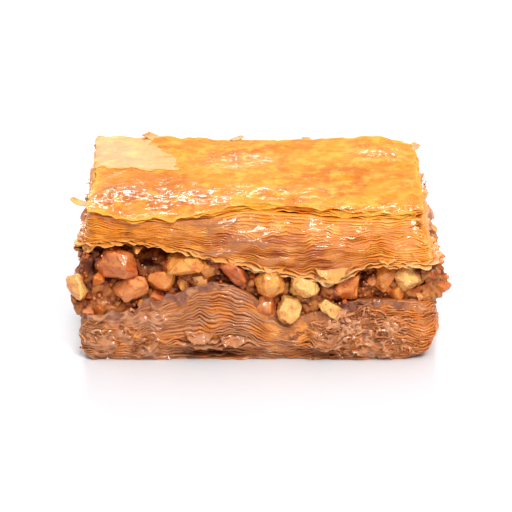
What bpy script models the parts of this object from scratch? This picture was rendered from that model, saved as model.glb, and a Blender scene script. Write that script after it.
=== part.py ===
"""A cut block of nut baklava: a lower and an upper stack of filo leaves, with a layer of chopped nuts between.

The block stands on its flat underside. X runs along the long cut side, Y through the depth, Z up, and the
origin is the middle of the footprint. Lengths are in millimetres here and become metres in MM.
"""

import math
import random

import bmesh
import bpy
from mathutils import Vector, noise

MM = 0.001

# The pastry block.
LENGTH = 58.0
DEPTH = 40.0
LOWER_TOP = 10.4  # mean height where the lower stack ends
UPPER_FOOT = 18.4  # mean height where the upper stack begins
HEIGHT = 24.6  # mean height of the crust
CORNER = 2.4  # radius of the cut corners in plan
TOUCH = 0.3  # gap kept between two pieces that rest on each other

# Grid that carries the folds: cells along X and Y, and rows of leaves up each piece.
CELLS_X = 23
CELLS_Y = 14
LOWER_ROWS = 8
FILLING_ROWS = 5
UPPER_ROWS = 6

# Each hill of a face is (centre x, centre y, spread x, spread y, rise); a hollow has a negative rise.
LOWER_FOLDS = (
    (-6.8, -20, 5.0, 14, 3.3),  # the leaves arch up
    (5.4, -20, 4.4, 11, -3.6),  # and dip under the largest nuts
    (-27, -20, 7.5, 12, -3.0),
    (15, 20, 7.0, 11, 2.0),
    (-11, 20, 7.0, 11, -2.2),
    (29, 6, 8.0, 7, -1.4),
    (-29, 8, 6.0, 6, 1.2),
)
UPPER_FOLDS = (
    (-26, -20, 11, 14, 1.2),  # the upper stack lifts off the nuts
    (7, -20, 9.5, 12, -3.7),  # and sags between them
    (26, -20, 8.0, 10, -1.0),
    (-9, 20, 8.0, 11, -1.9),
    (19, 20, 8.0, 10, 1.0),
    (29, 4, 5.0, 7, -1.2),
)
CRUST_FOLDS = (
    (-14, -21, 6.0, 3.5, -1.1),
    (-3, -19, 7.0, 5.0, 0.9),
    (19, -21, 13, 7.0, -1.9),  # the crust rolls over the front edge
    (29, 21, 7.0, 7.0, -1.6),
    (-27, 18, 6.0, 8.0, 0.5),
    (4, 12, 12, 6.0, 0.5),
)
FILLING_HOLLOWS = (
    (-17, -21, 6.5, 4.0, 2.3),  # dark gap over the nuts at the front
    (17, -21, 3.5, 3.0, 1.6),
    (-12, 21, 5.0, 3.0, 1.5),
)
HEEL = (22.0, 1.5)  # past this X the underside lifts off by up to this much at the end
LEAF_BUNDLE = 1.7  # height of a bundle of leaves that sticks out as one ledge

# The largest nuts, which stick out of the filling: name, centre x, y, z, then length, depth, height
# and tilt in degrees.
NUTS = (
    ("walnut_half", -23.0, -19.2, 16.7, 7.2, 4.8, 4.4, 6),
    ("walnut_facet", -21.0, -19.4, 12.1, 5.8, 4.2, 3.6, 24),
    ("almond_block", -29.4, -18.4, 12.2, 2.6, 4.2, 4.4, 16),
    ("almond_amber", -15.9, -18.8, 13.3, 3.6, 3.6, 3.8, -12),
    ("hazelnut_golden", -11.6, -19.4, 16.7, 6.4, 4.2, 3.0, 4),
    ("walnut_strip", -3.9, -19.4, 15.0, 6.4, 3.6, 2.8, -40),
    ("hazelnut_toasted", 1.9, -19.6, 13.4, 4.7, 4.2, 4.6, 15),
    ("almond_cream", 7.6, -19.2, 12.5, 4.7, 4.0, 3.6, -10),
    ("almond_sunk", 4.7, -19.4, 8.8, 4.4, 3.8, 3.9, 35),
    ("almond_sliver", 11.3, -19.5, 8.9, 4.2, 2.6, 2.0, -32),
    ("walnut_brown", 14.4, -18.4, 12.4, 4.8, 4.2, 3.8, 10),
    ("hazelnut_pale", 24.4, -18.8, 14.0, 5.0, 3.8, 4.2, 20),
)
NUT_FACETS = 10  # flat breaks round each nut
NUT_WEAR = 0.25  # width of its worn edges


def hill_sum(hills, x, y):
    return sum(
        rise * math.exp(-(((x - cx) / sx) ** 2 + ((y - cy) / sy) ** 2) / 2)
        for cx, cy, sx, sy, rise in hills
    )


def ripple(x, y, z, size, amount):
    """Smooth unevenness of the given size and depth."""
    return amount * noise.noise(Vector((x, y, z)) / size)


def lower_face(x, y):
    return LOWER_TOP + hill_sum(LOWER_FOLDS, x, y) + ripple(x, y, 3, 7, 0.5)


def upper_face(x, y):
    return UPPER_FOOT + hill_sum(UPPER_FOLDS, x, y) + ripple(x, y, 40, 7, 0.5)


def crust_face(x, y):
    """The crust is blistered all over and turns down near its rim."""
    rim = max(abs(x) / (LENGTH / 2), abs(y) / (DEPTH / 2)) ** 12
    blisters = ripple(x, y, 80, 9, 0.7) + ripple(x, y, 90, 4, 0.45)
    return HEIGHT + hill_sum(CRUST_FOLDS, x, y) + blisters - 0.7 * rim


def underside(x, y):
    start, lift = HEEL
    return lift * max(0.0, (x - start) / (LENGTH / 2 - start)) ** 2


def filling_top(x, y):
    return upper_face(x, y) - TOUCH - hill_sum(FILLING_HOLLOWS, x, y)


def ledges(x, y, z):
    """How far the cut wall of a leaf stack stands out: bundles of leaves end at different places."""
    bundle = noise.noise(Vector((x / 9, y / 9, z / LEAF_BUNDLE)))
    ragged = noise.noise(Vector((x / 2.5, y / 2.5, z / 0.8 + 50)))
    return 0.75 * bundle + 0.3 * ragged


def lower_wall(x, y, share, z):
    """The lower stack bellies a little at half height and tucks in at its foot."""
    return ledges(x, y, z) + 0.5 * math.sin(math.pi * share) - 0.6 * (1 - share) ** 6


def upper_wall(x, y, share, z):
    """The upper stack is narrower at the crust than at its torn foot."""
    return ledges(x, y, z + 100) + 0.3 - 1.5 * share**1.6


def filling_wall(x, y, share, z):
    """Nut pieces bulge out at the ends and sit back along the sides, with hollows between them."""
    at_end = max(0.0, abs(x) / (LENGTH / 2) - 0.88) / 0.12
    lumps = abs(noise.noise(Vector((x, y, z)) / 3.4 + Vector((7, 3, 11))))
    return 2.6 * lumps - 1.5 + 1.5 * at_end


def material(name, rgb, roughness):
    made = bpy.data.materials.new(name)
    made.use_nodes = True
    shader = made.node_tree.nodes["Principled BSDF"]
    shader.inputs["Base Color"].default_value = (*rgb, 1)
    shader.inputs["Roughness"].default_value = roughness
    shader.inputs["Metallic"].default_value = 0
    made.diffuse_color = (*rgb, 1)
    return made


def new_object(name, mesh_data, finish, collection):
    made = bpy.data.objects.new(name, mesh_data)
    mesh_data.materials.append(finish)
    collection.objects.link(made)
    return made


def clear_scene():
    for old in list(bpy.data.objects):
        bpy.data.objects.remove(old)


def gridded_block(rows):
    """A unit-high block of the plan's size, its upright corners rounded, cut by planes into cells and rows."""
    block = bmesh.new()
    bmesh.ops.create_cube(block, size=1)
    bmesh.ops.scale(block, vec=(LENGTH, DEPTH, 1), verts=block.verts)
    bmesh.ops.translate(block, vec=(0, 0, 0.5), verts=block.verts)
    upright = [e for e in block.edges if abs(e.verts[0].co.z - e.verts[1].co.z) > 0.5]
    bmesh.ops.bevel(block, geom=upright, offset=CORNER, segments=2, profile=0.5, affect="EDGES")
    for axis, span, count in ((0, LENGTH, CELLS_X), (1, DEPTH, CELLS_Y), (2, 1, rows)):
        normal = [0, 0, 0]
        normal[axis] = 1
        for i in range(1, count):
            point = [0, 0, 0]
            point[axis] = span * i / count - (span / 2 if axis < 2 else 0)
            everything = block.verts[:] + block.edges[:] + block.faces[:]
            bmesh.ops.bisect_plane(block, geom=everything, dist=1e-4, plane_co=point, plane_no=normal)
    return block


def shaped_block(name, rows, foot, head, wall, finish, collection):
    """A block between two folded faces. wall gives how far its side stands out at a share of its height."""
    block = gridded_block(rows)
    for vertex in block.verts:
        x, y, share = vertex.co
        z = foot(x, y) + share * (head(x, y) - foot(x, y))
        nearness = max(abs(x) / (LENGTH / 2), abs(y) / (DEPTH / 2)) ** 10
        outward = wall(x, y, share, z) * nearness
        vertex.co = Vector((x * (1 + 2 * outward / LENGTH), y * (1 + 2 * outward / DEPTH), z)) * MM
    flat = [f for f in block.faces if all(v.co.z < 1e-9 for v in f.verts)]
    if flat:
        bmesh.ops.dissolve_faces(block, faces=flat)
    bmesh.ops.recalc_face_normals(block, faces=block.faces)
    bmesh.ops.triangulate(block, faces=block.faces)
    shape = bpy.data.meshes.new(name)
    block.to_mesh(shape)
    block.free()
    return new_object(name, shape, finish, collection)


def broken_nut(name, size, seed):
    """A chopped nut: a lump of the given size with flat breaks, its sharp edges worn."""
    random.seed(seed)
    nut = bmesh.new()
    bmesh.ops.create_cube(nut, size=1)
    for _ in range(NUT_FACETS):
        normal = Vector(random.gauss(0, 1) for _ in range(3)).normalized()
        everything = nut.verts[:] + nut.edges[:] + nut.faces[:]
        cut = bmesh.ops.bisect_plane(
            nut,
            geom=everything,
            dist=1e-4,
            plane_co=normal * random.uniform(0.36, 0.48),
            plane_no=normal,
            clear_outer=True,
        )
        rim = [edge for edge in cut["geom_cut"] if isinstance(edge, bmesh.types.BMEdge)]
        bmesh.ops.holes_fill(nut, edges=rim)
    bmesh.ops.remove_doubles(nut, verts=nut.verts, dist=0.1)
    bmesh.ops.dissolve_limit(nut, angle_limit=0.1, verts=nut.verts, edges=nut.edges)
    low = [min(v.co[i] for v in nut.verts) for i in range(3)]
    high = [max(v.co[i] for v in nut.verts) for i in range(3)]
    for vertex in nut.verts:
        for i in range(3):
            vertex.co[i] = ((vertex.co[i] - low[i]) / (high[i] - low[i]) - 0.5) * size[i] * MM
    bmesh.ops.bevel(
        nut,
        geom=nut.edges[:],
        offset=NUT_WEAR * MM,
        segments=1,
        affect="EDGES",
        clamp_overlap=True,
    )
    bmesh.ops.recalc_face_normals(nut, faces=nut.faces)
    bmesh.ops.triangulate(nut, faces=nut.faces)
    shape = bpy.data.meshes.new(name)
    nut.to_mesh(shape)
    nut.free()
    return shape


def place_nuts(finish, collection, cutters):
    """Puts each nut in its place, with a cutter that is larger by the touching gap all round."""
    for index, (name, x, y, z, length, depth, height, tilt) in enumerate(NUTS):
        size = (length, depth, height)
        shape = broken_nut(name, size, seed=index + 1)
        nut = new_object(name, shape, finish, collection)
        cutter = new_object("pocket_" + name, shape.copy(), finish, cutters)
        cutter.scale = [(side + 2 * TOUCH) / side for side in size]
        cutter.hide_render = True
        cutter.display_type = "WIRE"
        for placed in (nut, cutter):
            placed.location = Vector((x, y, z)) * MM
            placed.rotation_euler = (0, math.radians(-tilt), math.radians(index * 7 - 40))


def cut_pockets(solid, cutters):
    cut = solid.modifiers.new("nut pockets", "BOOLEAN")
    cut.operation = "DIFFERENCE"
    cut.solver = "EXACT"
    cut.operand_type = "COLLECTION"
    cut.collection = cutters


def centre_footprint(objects):
    """Moves the whole piece so that the middle of its box stands over the origin."""
    bpy.context.view_layer.update()
    corners = [o.matrix_world @ Vector(c) for o in objects for c in o.bound_box]
    for axis in range(2):
        middle = (min(c[axis] for c in corners) + max(c[axis] for c in corners)) / 2
        for moved in bpy.data.objects:
            moved.location[axis] -= middle


def main():
    clear_scene()
    baklava = bpy.data.collections.new("baklava")
    cutters = bpy.data.collections.new("cutters")
    for collection in (baklava, cutters):
        bpy.context.scene.collection.children.link(collection)
    soaked = material("soaked filo", (0.48, 0.17, 0.07), 0.45)
    baked = material("baked filo", (0.80, 0.36, 0.08), 0.35)
    chopped = material("chopped nuts in syrup", (0.25, 0.08, 0.03), 0.4)
    kernel = material("nut kernel", (0.78, 0.47, 0.17), 0.4)
    lower = shaped_block("lower_leaves", LOWER_ROWS, underside, lower_face, lower_wall, soaked, baklava)
    filling = shaped_block(
        "nut_filling",
        FILLING_ROWS,
        lambda x, y: lower_face(x, y) + TOUCH,
        filling_top,
        filling_wall,
        chopped,
        baklava,
    )
    upper = shaped_block("upper_leaves", UPPER_ROWS, upper_face, crust_face, upper_wall, baked, baklava)
    place_nuts(kernel, baklava, cutters)
    for solid in (lower, filling, upper):
        cut_pockets(solid, cutters)
    centre_footprint(list(baklava.objects))


main()
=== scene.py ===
"""A cut piece of nut baklava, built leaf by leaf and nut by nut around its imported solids.

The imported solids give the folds, the cut walls and the place of every large nut. Each stack of filo is made
here of separate leaves, the crust of torn and blistered leaves, and the filling of chopped nuts and crumbs
over a paste core. Lengths inside the functions are millimetres; the meshes are metres.
"""

import math
import random

import bpy
import numpy as np
from bpy.props import FloatProperty, FloatVectorProperty, IntProperty, PointerProperty
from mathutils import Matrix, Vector
from mathutils.bvhtree import BVHTree


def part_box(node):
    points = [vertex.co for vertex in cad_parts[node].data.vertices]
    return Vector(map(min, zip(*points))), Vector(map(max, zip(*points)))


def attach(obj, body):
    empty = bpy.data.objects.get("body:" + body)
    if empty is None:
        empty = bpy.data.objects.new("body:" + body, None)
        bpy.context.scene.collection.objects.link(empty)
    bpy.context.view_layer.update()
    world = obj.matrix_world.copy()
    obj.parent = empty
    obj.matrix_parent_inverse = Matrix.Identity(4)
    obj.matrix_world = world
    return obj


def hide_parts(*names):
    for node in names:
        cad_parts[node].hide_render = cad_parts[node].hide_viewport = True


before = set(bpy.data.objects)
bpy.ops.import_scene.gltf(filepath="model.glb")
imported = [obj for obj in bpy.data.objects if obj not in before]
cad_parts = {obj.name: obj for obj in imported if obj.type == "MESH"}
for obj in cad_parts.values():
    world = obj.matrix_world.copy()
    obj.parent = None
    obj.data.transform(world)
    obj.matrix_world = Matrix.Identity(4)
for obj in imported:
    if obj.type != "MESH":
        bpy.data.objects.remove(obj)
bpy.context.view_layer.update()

bl_info = {
    "name": "Nut baklava piece",
    "version": (1, 0, 0),
    "blender": (4, 5, 0),
    "location": "3D View > Sidebar > Baklava",
    "description": "Builds a cut piece of nut baklava leaf by leaf around its packed solids",
    "category": "Add Mesh",
}

MM = 0.001

CORNER = 2.6  # radius of the cut corners in plan
PLAN_REACH = (35.0, 26.0)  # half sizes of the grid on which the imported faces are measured
PLAN_STEP = 1.0  # from one point of that grid to the next
MAP_SMOOTHING = 5  # how many times each measured face is evened out
RIM_MARGIN = 0.8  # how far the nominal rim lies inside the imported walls
WALL_SEARCH = 9.0  # how far outside the nominal rim the search for a packed wall begins
WALL_DEPTH = 4.0  # how far inside the nominal rim that search ends
BELOW_CROWN = 1.5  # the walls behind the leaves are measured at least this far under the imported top
BELOW_CRUST = 1.2  # the walls behind the crust are measured this far under it

BODY_COLUMNS = 900  # columns of faces round a stack's soaked body
LOWER_ROWS, UPPER_ROWS = 66, 44  # rings of points between such a body's two caps
CAP_INSET = 4.0  # how far a body's caps lie inside its wall
CAP_SINK = 1.5  # how far the caps under the crust and next to the nuts are sunk into a body
LEAF_STRIPS = (0.12, 0.25, 0.8, 3.2)  # widths of a leaf's strips of faces, from its rim inwards
WALL_EVENING = 1.6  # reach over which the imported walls' facets are evened out
EDGE_PULL = 14.0  # how far in a crust leaf gives way when its edge is drawn back
CRUST_RISE = 0.1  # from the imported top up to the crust's lowest leaf
CRUST_LIFT = 0.2  # from one crust leaf to the next
CRUST_TOP, CRUST_EASE = 25.2, 0.25  # the crust's swells flatten off above that height, over that much
UNDER_STEP, TOP_STEP, LOOSE_STEP = 0.42, 0.26, 0.36  # sides of the faces of the crust's leaves
FLAKE_CELL, FLAP_CELL = 0.3, 0.25  # sides of the faces of the loose flakes and the torn ends of leaf
ROLL_DROP = 0.9  # how far the crust has rolled down over the front edge
ROLL_WIDTH = 4.5  # how far behind the front edge that roll begins
CROWN_LIMIT = 25.15  # no blister lifts the lowest crust leaf above this height
STAIR_DEPTH = 2.4  # how far the topmost leaves draw back right of the middle, one behind the other
STAIR_HEIGHT = 3.0  # how far under the crust's lowest leaf they begin to draw back
END_INSET = 0.45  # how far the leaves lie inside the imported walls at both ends
LEAN = 0.9  # how much further the upper stack draws in at its right end
WORN_CORNER = 2.2  # how far the upper leaves draw in round the back right corner
TOP_TAPER = 0.02  # how much narrower the piece is behind its front, as a share of its width
FILLING_TAPER = 0.06  # how much more of its width it loses at the filling's height
FILLING_LEVEL, FILLING_SPREAD = 15.5, 3.5  # that height, and how far up and down the loss spreads
CORE_SINK = 0.15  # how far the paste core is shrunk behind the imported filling
CORE_VOXEL = 0.36  # size of the paste core's faces

# Lens-shaped gaps between two leaves at the front: x, leaf number, half width, opening in leaf pitches.
LOWER_LENSES = ((3.2, 17, 1.6, 4.5), (2.2, 8, 1.6, 1.6), (9.5, 9, 2.6, 1.8), (-11.0, 11, 2.2, 1.2))
UPPER_LENSES = (
    (12.7, 8, 1.2, 2.6),
    (17.5, 12, 1.3, 2.4),
    (25.0, 10, 1.4, 2.4),
    (3.0, 13, 3.0, 1.8),
    (-2.0, 6, 3.0, 1.2),
    (21.0, 5, 2.2, 1.4),
)
# Places where the torn foot of the upper stack stands off the nuts: x, y, reach, rise.
LIFTED_FOOT = ((-19.5, -21.0, 5.5, 1.1), (18.5, -21.0, 2.6, 0.8))
# Places where the lowest leaves of the upper stack hang down over the nuts: x, y, reach, drop.
HANGING_LEAVES = (
    (12.0, -20.0, 2.6, 1.7),
    (3.0, -20.0, 3.0, 0.6),
    (27.0, -20.0, 2.0, 0.5),
    (-9.0, 20.0, 3.0, 1.2),
)
# Hollows in the foot of the lower stack, with torn leaves over them: x, y, reach, depth.
FOOT_HOLLOWS = (
    (-7.0, -20.0, 4.6, 2.2),
    (10.5, -20.0, 2.6, 1.4),
    (14.0, 20.0, 4.0, 1.6),
    (-30.0, 4.0, 3.0, 1.2),
)
# Torn ends of leaf that hang out of the cut sides: x, y, z, width, drop, how far they stand out.
LOWER_FLAPS = (
    (-9.0, -19.0, 5.2, 6.0, 2.6, 0.8),
    (-3.6, -19.0, 4.6, 5.4, 3.0, 0.6),
    (-17.0, -19.0, 3.4, 3.4, 1.6, 0.3),
    (12.0, -19.0, 3.6, 3.4, 2.4, 0.6),
    (17.0, -19.0, 2.6, 4.0, 1.8, 0.5),
    (-24.5, -19.0, 5.5, 3.2, 1.4, 0.4),
    (14.0, 21.0, 3.8, 5.0, 2.0, 0.6),
    (8.0, 21.0, 3.3, 3.0, 1.7, 0.5),
    (-12.0, 21.0, 5.0, 3.4, 1.6, 0.5),
    (-29.0, 3.0, 3.6, 4.4, 1.8, 0.5),
    (-29.0, -9.0, 5.0, 3.0, 1.4, 0.4),
    (30.0, -6.0, 3.2, 3.4, 1.6, 0.5),
)
UPPER_FLAPS = (
    (12.4, -19.0, 16.2, 6.4, 3.2, 0.6),
    (3.0, -19.0, 16.4, 4.4, 1.8, 0.4),
    (-3.0, -19.0, 17.8, 4.0, 1.6, 0.4),
    (27.3, -19.0, 18.6, 4.6, 2.3, 0.4),
    (21.5, -19.0, 17.8, 4.0, 1.6, 0.3),
    (-28.0, -19.0, 19.9, 3.0, 1.8, 0.3),
    (-20.0, -19.0, 19.4, 3.6, 1.2, 0.3),
    (-9.0, 21.0, 19.0, 4.4, 2.4, 0.4),
    (15.0, 21.0, 18.0, 3.6, 1.8, 0.4),
    (-29.0, 8.0, 19.0, 4.0, 1.8, 0.4),
    (30.0, -8.0, 18.0, 4.0, 1.8, 0.4),
    (30.0, -15.5, 17.0, 4.0, 5.0, 0.9),
    (30.0, 9.0, 18.0, 3.0, 1.4, 0.4),
)
# Where the cut crushed the lower leaves into a frothy crumb: x, y, reach.
CRUSHED = ((17.0, -20.0, 8.0), (-9.0, 20.0, 7.0), (29.0, 10.0, 6.0))
# Where the cut smeared the leaves together: x, y, reach.
SMEARED = ((-22.0, -20.0, 7.0), (20.0, 20.0, 7.0), (-29.0, -6.0, 7.0))
SHRED_COUNTS = (20, 14, 26, 20, 14)  # curled shreds at each crushed and smeared place but the first
# Where nut paste was dragged down over the lower leaves: x, y, reach.
PASTED = (
    (-16.0, -20.0, 8.0),
    (19.0, -20.0, 4.0),
    (10.0, 20.0, 7.0),
    (-29.0, 6.0, 5.0),
    (30.0, -4.0, 5.0),
)
# Blisters and dents of the crust: x, y, half width, half depth, rise.
BLISTERS = (
    (-23.0, -10.0, 4.5, 4.0, 0.7),
    (-15.5, -9.0, 2.0, 8.0, -0.5),
    (-10.0, -11.0, 4.0, 4.0, 0.7),
    (-19.0, 4.0, 8.0, 2.0, 0.5),
    (1.0, -8.0, 6.0, 3.0, 0.5),
    (8.0, 6.0, 7.0, 3.0, 0.5),
    (17.0, -2.0, 6.0, 2.5, -0.5),
    (19.0, 10.0, 5.0, 4.0, 0.4),
    (24.0, 21.0, 12.0, 9.0, 1.2),
    (-14.0, 22.0, 5.0, 3.0, 0.7),
    (-27.0, -17.0, 5.0, 4.0, 0.9),
)
# Where the syrup lies thick and crumpled on the crust: x, y, half width, half depth, strength.
GLAZED_PATCHES = (
    (-22.5, -10.5, 4.4, 5.4, 1.0),
    (-15.5, -11.0, 2.2, 6.0, 1.0),
    (-9.5, -11.5, 4.0, 4.6, 1.0),
    (3.0, -8.0, 6.0, 3.0, 0.4),
    (21.0, -14.0, 8.0, 2.0, 0.4),
    (-2.0, 8.0, 5.0, 3.0, 0.25),
    (22.0, 12.0, 4.0, 3.0, 0.3),
    (-24.0, 8.0, 3.0, 6.0, 0.2),
)
# The top leaf's front lip: x, and how far it reaches past the wall.
CRUST_LIP = (
    (-29.0, 0.1), (-26.5, 0.2), (-23.8, 0.6), (-19.9, 1.2), (-16.6, 0.1), (-13.3, 1.0), (-12.2, 0.1),
    (-7.0, -0.1), (-4.2, -1.8), (-1.0, -3.0), (3.5, -3.8), (9.5, -3.7), (14.0, -3.3), (20.0, -3.2),
    (28.0, -3.0),
)
# Gaps between the nuts: x, y, z, reach.
CAVITIES = (
    (-17.2, -19.5, 17.8, 1.7),
    (-12.8, -19.5, 18.6, 1.5),
    (-27.0, -19.5, 15.5, 1.4),
    (-20.0, -19.5, 13.0, 1.0),
    (16.8, -19.5, 13.6, 1.3),
    (18.6, -19.5, 16.6, 1.4),
    (-1.0, -19.5, 15.0, 0.9),
    (8.0, -19.5, 14.0, 0.8),
    (-8.0, 21.0, 15.5, 1.6),
    (12.0, 21.0, 14.5, 1.4),
    (-30.0, 2.0, 16.0, 1.5),
    (30.5, 4.0, 14.5, 1.5),
)
LOOSE_LEAF = (-12.5, 3.5)  # the right and front edges of the loose dry leaf
# The flakes: x, y, width, depth, turn, curl, height over the crust.
FLAKES = (
    (-17.0, 20.3, 4.2, 3.0, 2.8, 0.7, 0.5),
    (-3.2, 20.0, 2.2, 1.6, 0.4, 0.4, 0.8),
    (8.5, 20.6, 2.6, 1.8, 1.4, 0.3, 0.4),
    (-28.7, -10.0, 3.4, 2.4, 3.0, 0.9, -0.2),
    (26.5, 17.5, 3.0, 2.0, 0.9, 0.5, 0.5),
)
# The large nuts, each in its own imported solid: kind, how toasted, how much skin.
LARGE_NUTS = {
    "walnut_half": ("walnut", 0.35, 0.1),
    "walnut_facet": ("walnut", 0.0, 0.3),
    "almond_block": ("almond", 0.1, 0.0),
    "almond_amber": ("hazelnut", 0.45, 0.1),
    "hazelnut_golden": ("hazelnut", 0.0, 0.0),
    "walnut_strip": ("walnut", 0.45, 0.5),
    "hazelnut_toasted": ("hazelnut", 0.0, 0.1),
    "almond_cream": ("almond", -0.15, 0.0),
    "almond_sunk": ("almond", 0.0, 0.0),
    "almond_sliver": ("almond", -0.3, 0.0),
    "walnut_brown": ("hazelnut", 0.7, 0.3),
    "hazelnut_pale": ("almond", 0.0, 0.1),
}
NUT_BREAKS, LUMP_BREAKS = 7, 8  # flat breaks on a large nut and on a small one
NUT_CUTS = 5  # how many times each side of a large nut's faces is cut
LUMP_KINDS = 6  # different small nuts

# The nodes in use: Blender's name, the inputs or settings that values fill in turn, the output, the rest.
NODES = {
    "place": ("ShaderNodeTexCoord", (), "Object", {}),
    "direction": ("ShaderNodeTexCoord", (), "Generated", {}),
    "stretched": ("ShaderNodeMapping", ("Vector", "Scale"), 0, {}),
    "noise": ("ShaderNodeTexNoise", ("Vector", "Scale"), 0, {}),
    "cells": ("ShaderNodeTexVoronoi", ("Vector", "Scale"), 0, {}),
    "stored": ("ShaderNodeAttribute", ("attribute_name",), "Fac", {}),
    "share": ("ShaderNodeMapRange", (0, 1, 2), 0, {"interpolation_type": "SMOOTHSTEP"}),
    "ramp": ("ShaderNodeMapRange", (0, 1, 2, 3, 4), 0, {}),
    "product": ("ShaderNodeMath", (0, 1), 0, {"operation": "MULTIPLY"}),
    "height": ("ShaderNodeSeparateXYZ", (0,), 2, {}),
    "mix": ("ShaderNodeMix", (0, 6, 7), 2, {"data_type": "RGBA"}),
    "bump": ("ShaderNodeBump", ("Height", "Distance", "Normal"), 0, {"Strength": 1.0}),
}


def linear(code):
    """An sRGB hex value as linear red, green and blue."""
    parts = [int(code[i : i + 2], 16) / 255 for i in (1, 3, 5)]
    return [p / 12.92 if p <= 0.04045 else ((p + 0.055) / 1.055) ** 2.4 for p in parts]


def colour(name, description, code):
    """A colour that a panel can change."""
    return FloatVectorProperty(
        name=name, description=description, subtype="COLOR", min=0, max=1, default=linear(code)
    )


def length(name, description, millimetres):
    """A length that a panel can change."""
    return FloatProperty(
        name=name,
        description=description,
        subtype="DISTANCE",
        unit="LENGTH",
        min=0,
        default=millimetres * MM,
    )


class BaklavaLeaves(bpy.types.PropertyGroup):
    """Sizes and colours of the two stacks of filo leaves."""

    lower_count: IntProperty(name="Lower leaves", description="Leaves in that stack", default=24, min=4)
    upper_count: IntProperty(name="Upper leaves", description="Leaves in that stack", default=21, min=4)
    lower_thickness: length("Lower leaf", "Greatest thickness of a soaked leaf", 0.7)
    upper_thickness: length("Upper leaf", "Greatest thickness of a crisp leaf", 0.5)
    shred_count: IntProperty(name="Shreds", description="Shreds on the crushed front", default=64, min=0)
    rim_step: length("Rim step", "Distance between two points along a leaf's rim", 0.32)
    soaked_pale: colour("Soaked pale", "Pale rim of a soaked leaf", "#CE8E60")
    soaked_tan: colour("Soaked tan", "Body of a soaked leaf", "#BA6830")
    # This colour is laid inward from each soaked leaf's rim: part syrup in the grooves, part painted shade
    # between the leaves.
    soaked_groove_and_shade: colour("Soaked groove", "Depth between soaked leaves", "#84431C")
    baked_pale: colour("Baked pale", "Pale rim of a baked leaf", "#FDC672")
    baked_gold: colour("Baked gold", "Body of a baked leaf", "#F8A034")
    baked_brown: colour("Baked brown", "Leaves browned by syrup", "#AE5620")
    # This colour is laid inward from each baked leaf's rim: part syrup in the grooves, part painted shade
    # between the leaves.
    baked_groove_and_shade: colour("Baked groove", "Depth between baked leaves", "#B8600F")
    dry: colour("Dry", "Leaves that no syrup reached", "#F2BE80")
    syrup: colour("Syrup", "Syrup that fills the stacks", "#C26A12")
    amber: colour("Amber", "Leaves clear with syrup", "#E28634")
    dough: colour("Dough", "Leaves smeared to dough by the knife", "#B06C46")
    dough_dark: colour("Dark dough", "Darker flecks of the smeared dough", "#9C4E1E")
    # This colour is the real colour of the curled shreds and also the painted highlight on the tops of
    # smeared folds and raised paste lumps.
    froth_and_highlight: colour("Froth", "Curled shreds and ridges of soaked leaf", "#E29C68")
    # This near-black colour is painted shade in the foot's hollows, in the low parts of the smeared folds and
    # along the bottom edge; it also darkens the dragged paste and the soaked middle of the upper leaves.
    hollow: colour("Hollow", "Depths of the torn foot", "#5E2210")


class BaklavaCrust(bpy.types.PropertyGroup):
    """Sizes and colours of the crust and its flakes."""

    thickness: length("Crust leaf", "Thickness of a crust leaf", 0.16)
    gold: colour("Gold", "Golden crust", "#DE8E20")
    pale: colour("Pale", "Pale, dry crust", "#ECAE44")
    # This colour is real toasting and also painted shade in the crust's furrows.
    toasted: colour("Toasted", "Toasted parts of the crust", "#C66E1E")
    # This bright orange on each crust leaf's underside is a painted glow, keeping the shade under the leaves
    # warm.
    under: colour("Underside", "Syrupy underside of a crust leaf", "#F08018")
    dry: colour("Dry leaf", "The loose, dry leaf and the flakes", "#CC8C44")
    speck: colour("Specks", "Dark specks on the crust", "#5A2A10")


class BaklavaNuts(bpy.types.PropertyGroup):
    """Sizes and colours of the filling."""

    chopped_count: IntProperty(name="Chopped nuts", description="Small nuts of each kind", default=70, min=1)
    chopped_size: length("Chopped size", "Mean length of a small nut piece", 2.1)
    crumb_count: IntProperty(name="Crumbs", description="Crumbs of ground nut", default=1500, min=1)
    crumb_size: length("Crumb size", "Mean length of a crumb", 0.55)
    paste: colour("Paste", "Ground nuts soaked in syrup", "#8E3E18")
    # This colour also paints the highlight on the raised lumps of the paste core.
    paste_light: colour("Light paste", "Paler ground nut", "#C87E40")
    # This near-black colour is painted shade in the gaps between the nuts, under the torn foot and in the low
    # parts of the paste.
    cavity: colour("Cavity", "Gaps between the nuts", "#3C0C06")
    walnut: colour("Walnut", "Walnut kernel", "#E48A44")
    almond: colour("Almond", "Almond kernel", "#FFBC6A")
    hazelnut: colour("Hazelnut", "Toasted hazelnut kernel", "#F4A448")
    skin: colour("Skin", "Brown skin on a kernel", "#6E2814")


class BaklavaStage(bpy.types.PropertyGroup):
    """Camera and floor."""

    distance: length("Camera distance", "From the camera to the piece", 1400)
    elevation: FloatProperty(
        name="Elevation",
        description="Camera angle above the horizon",
        subtype="ANGLE",
        default=math.radians(19),
    )
    lens: FloatProperty(name="Lens", description="Focal length in millimetres", default=597.0, min=1)
    floor: colour("Floor", "Plain pale floor", "#E4E8EE")


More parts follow.
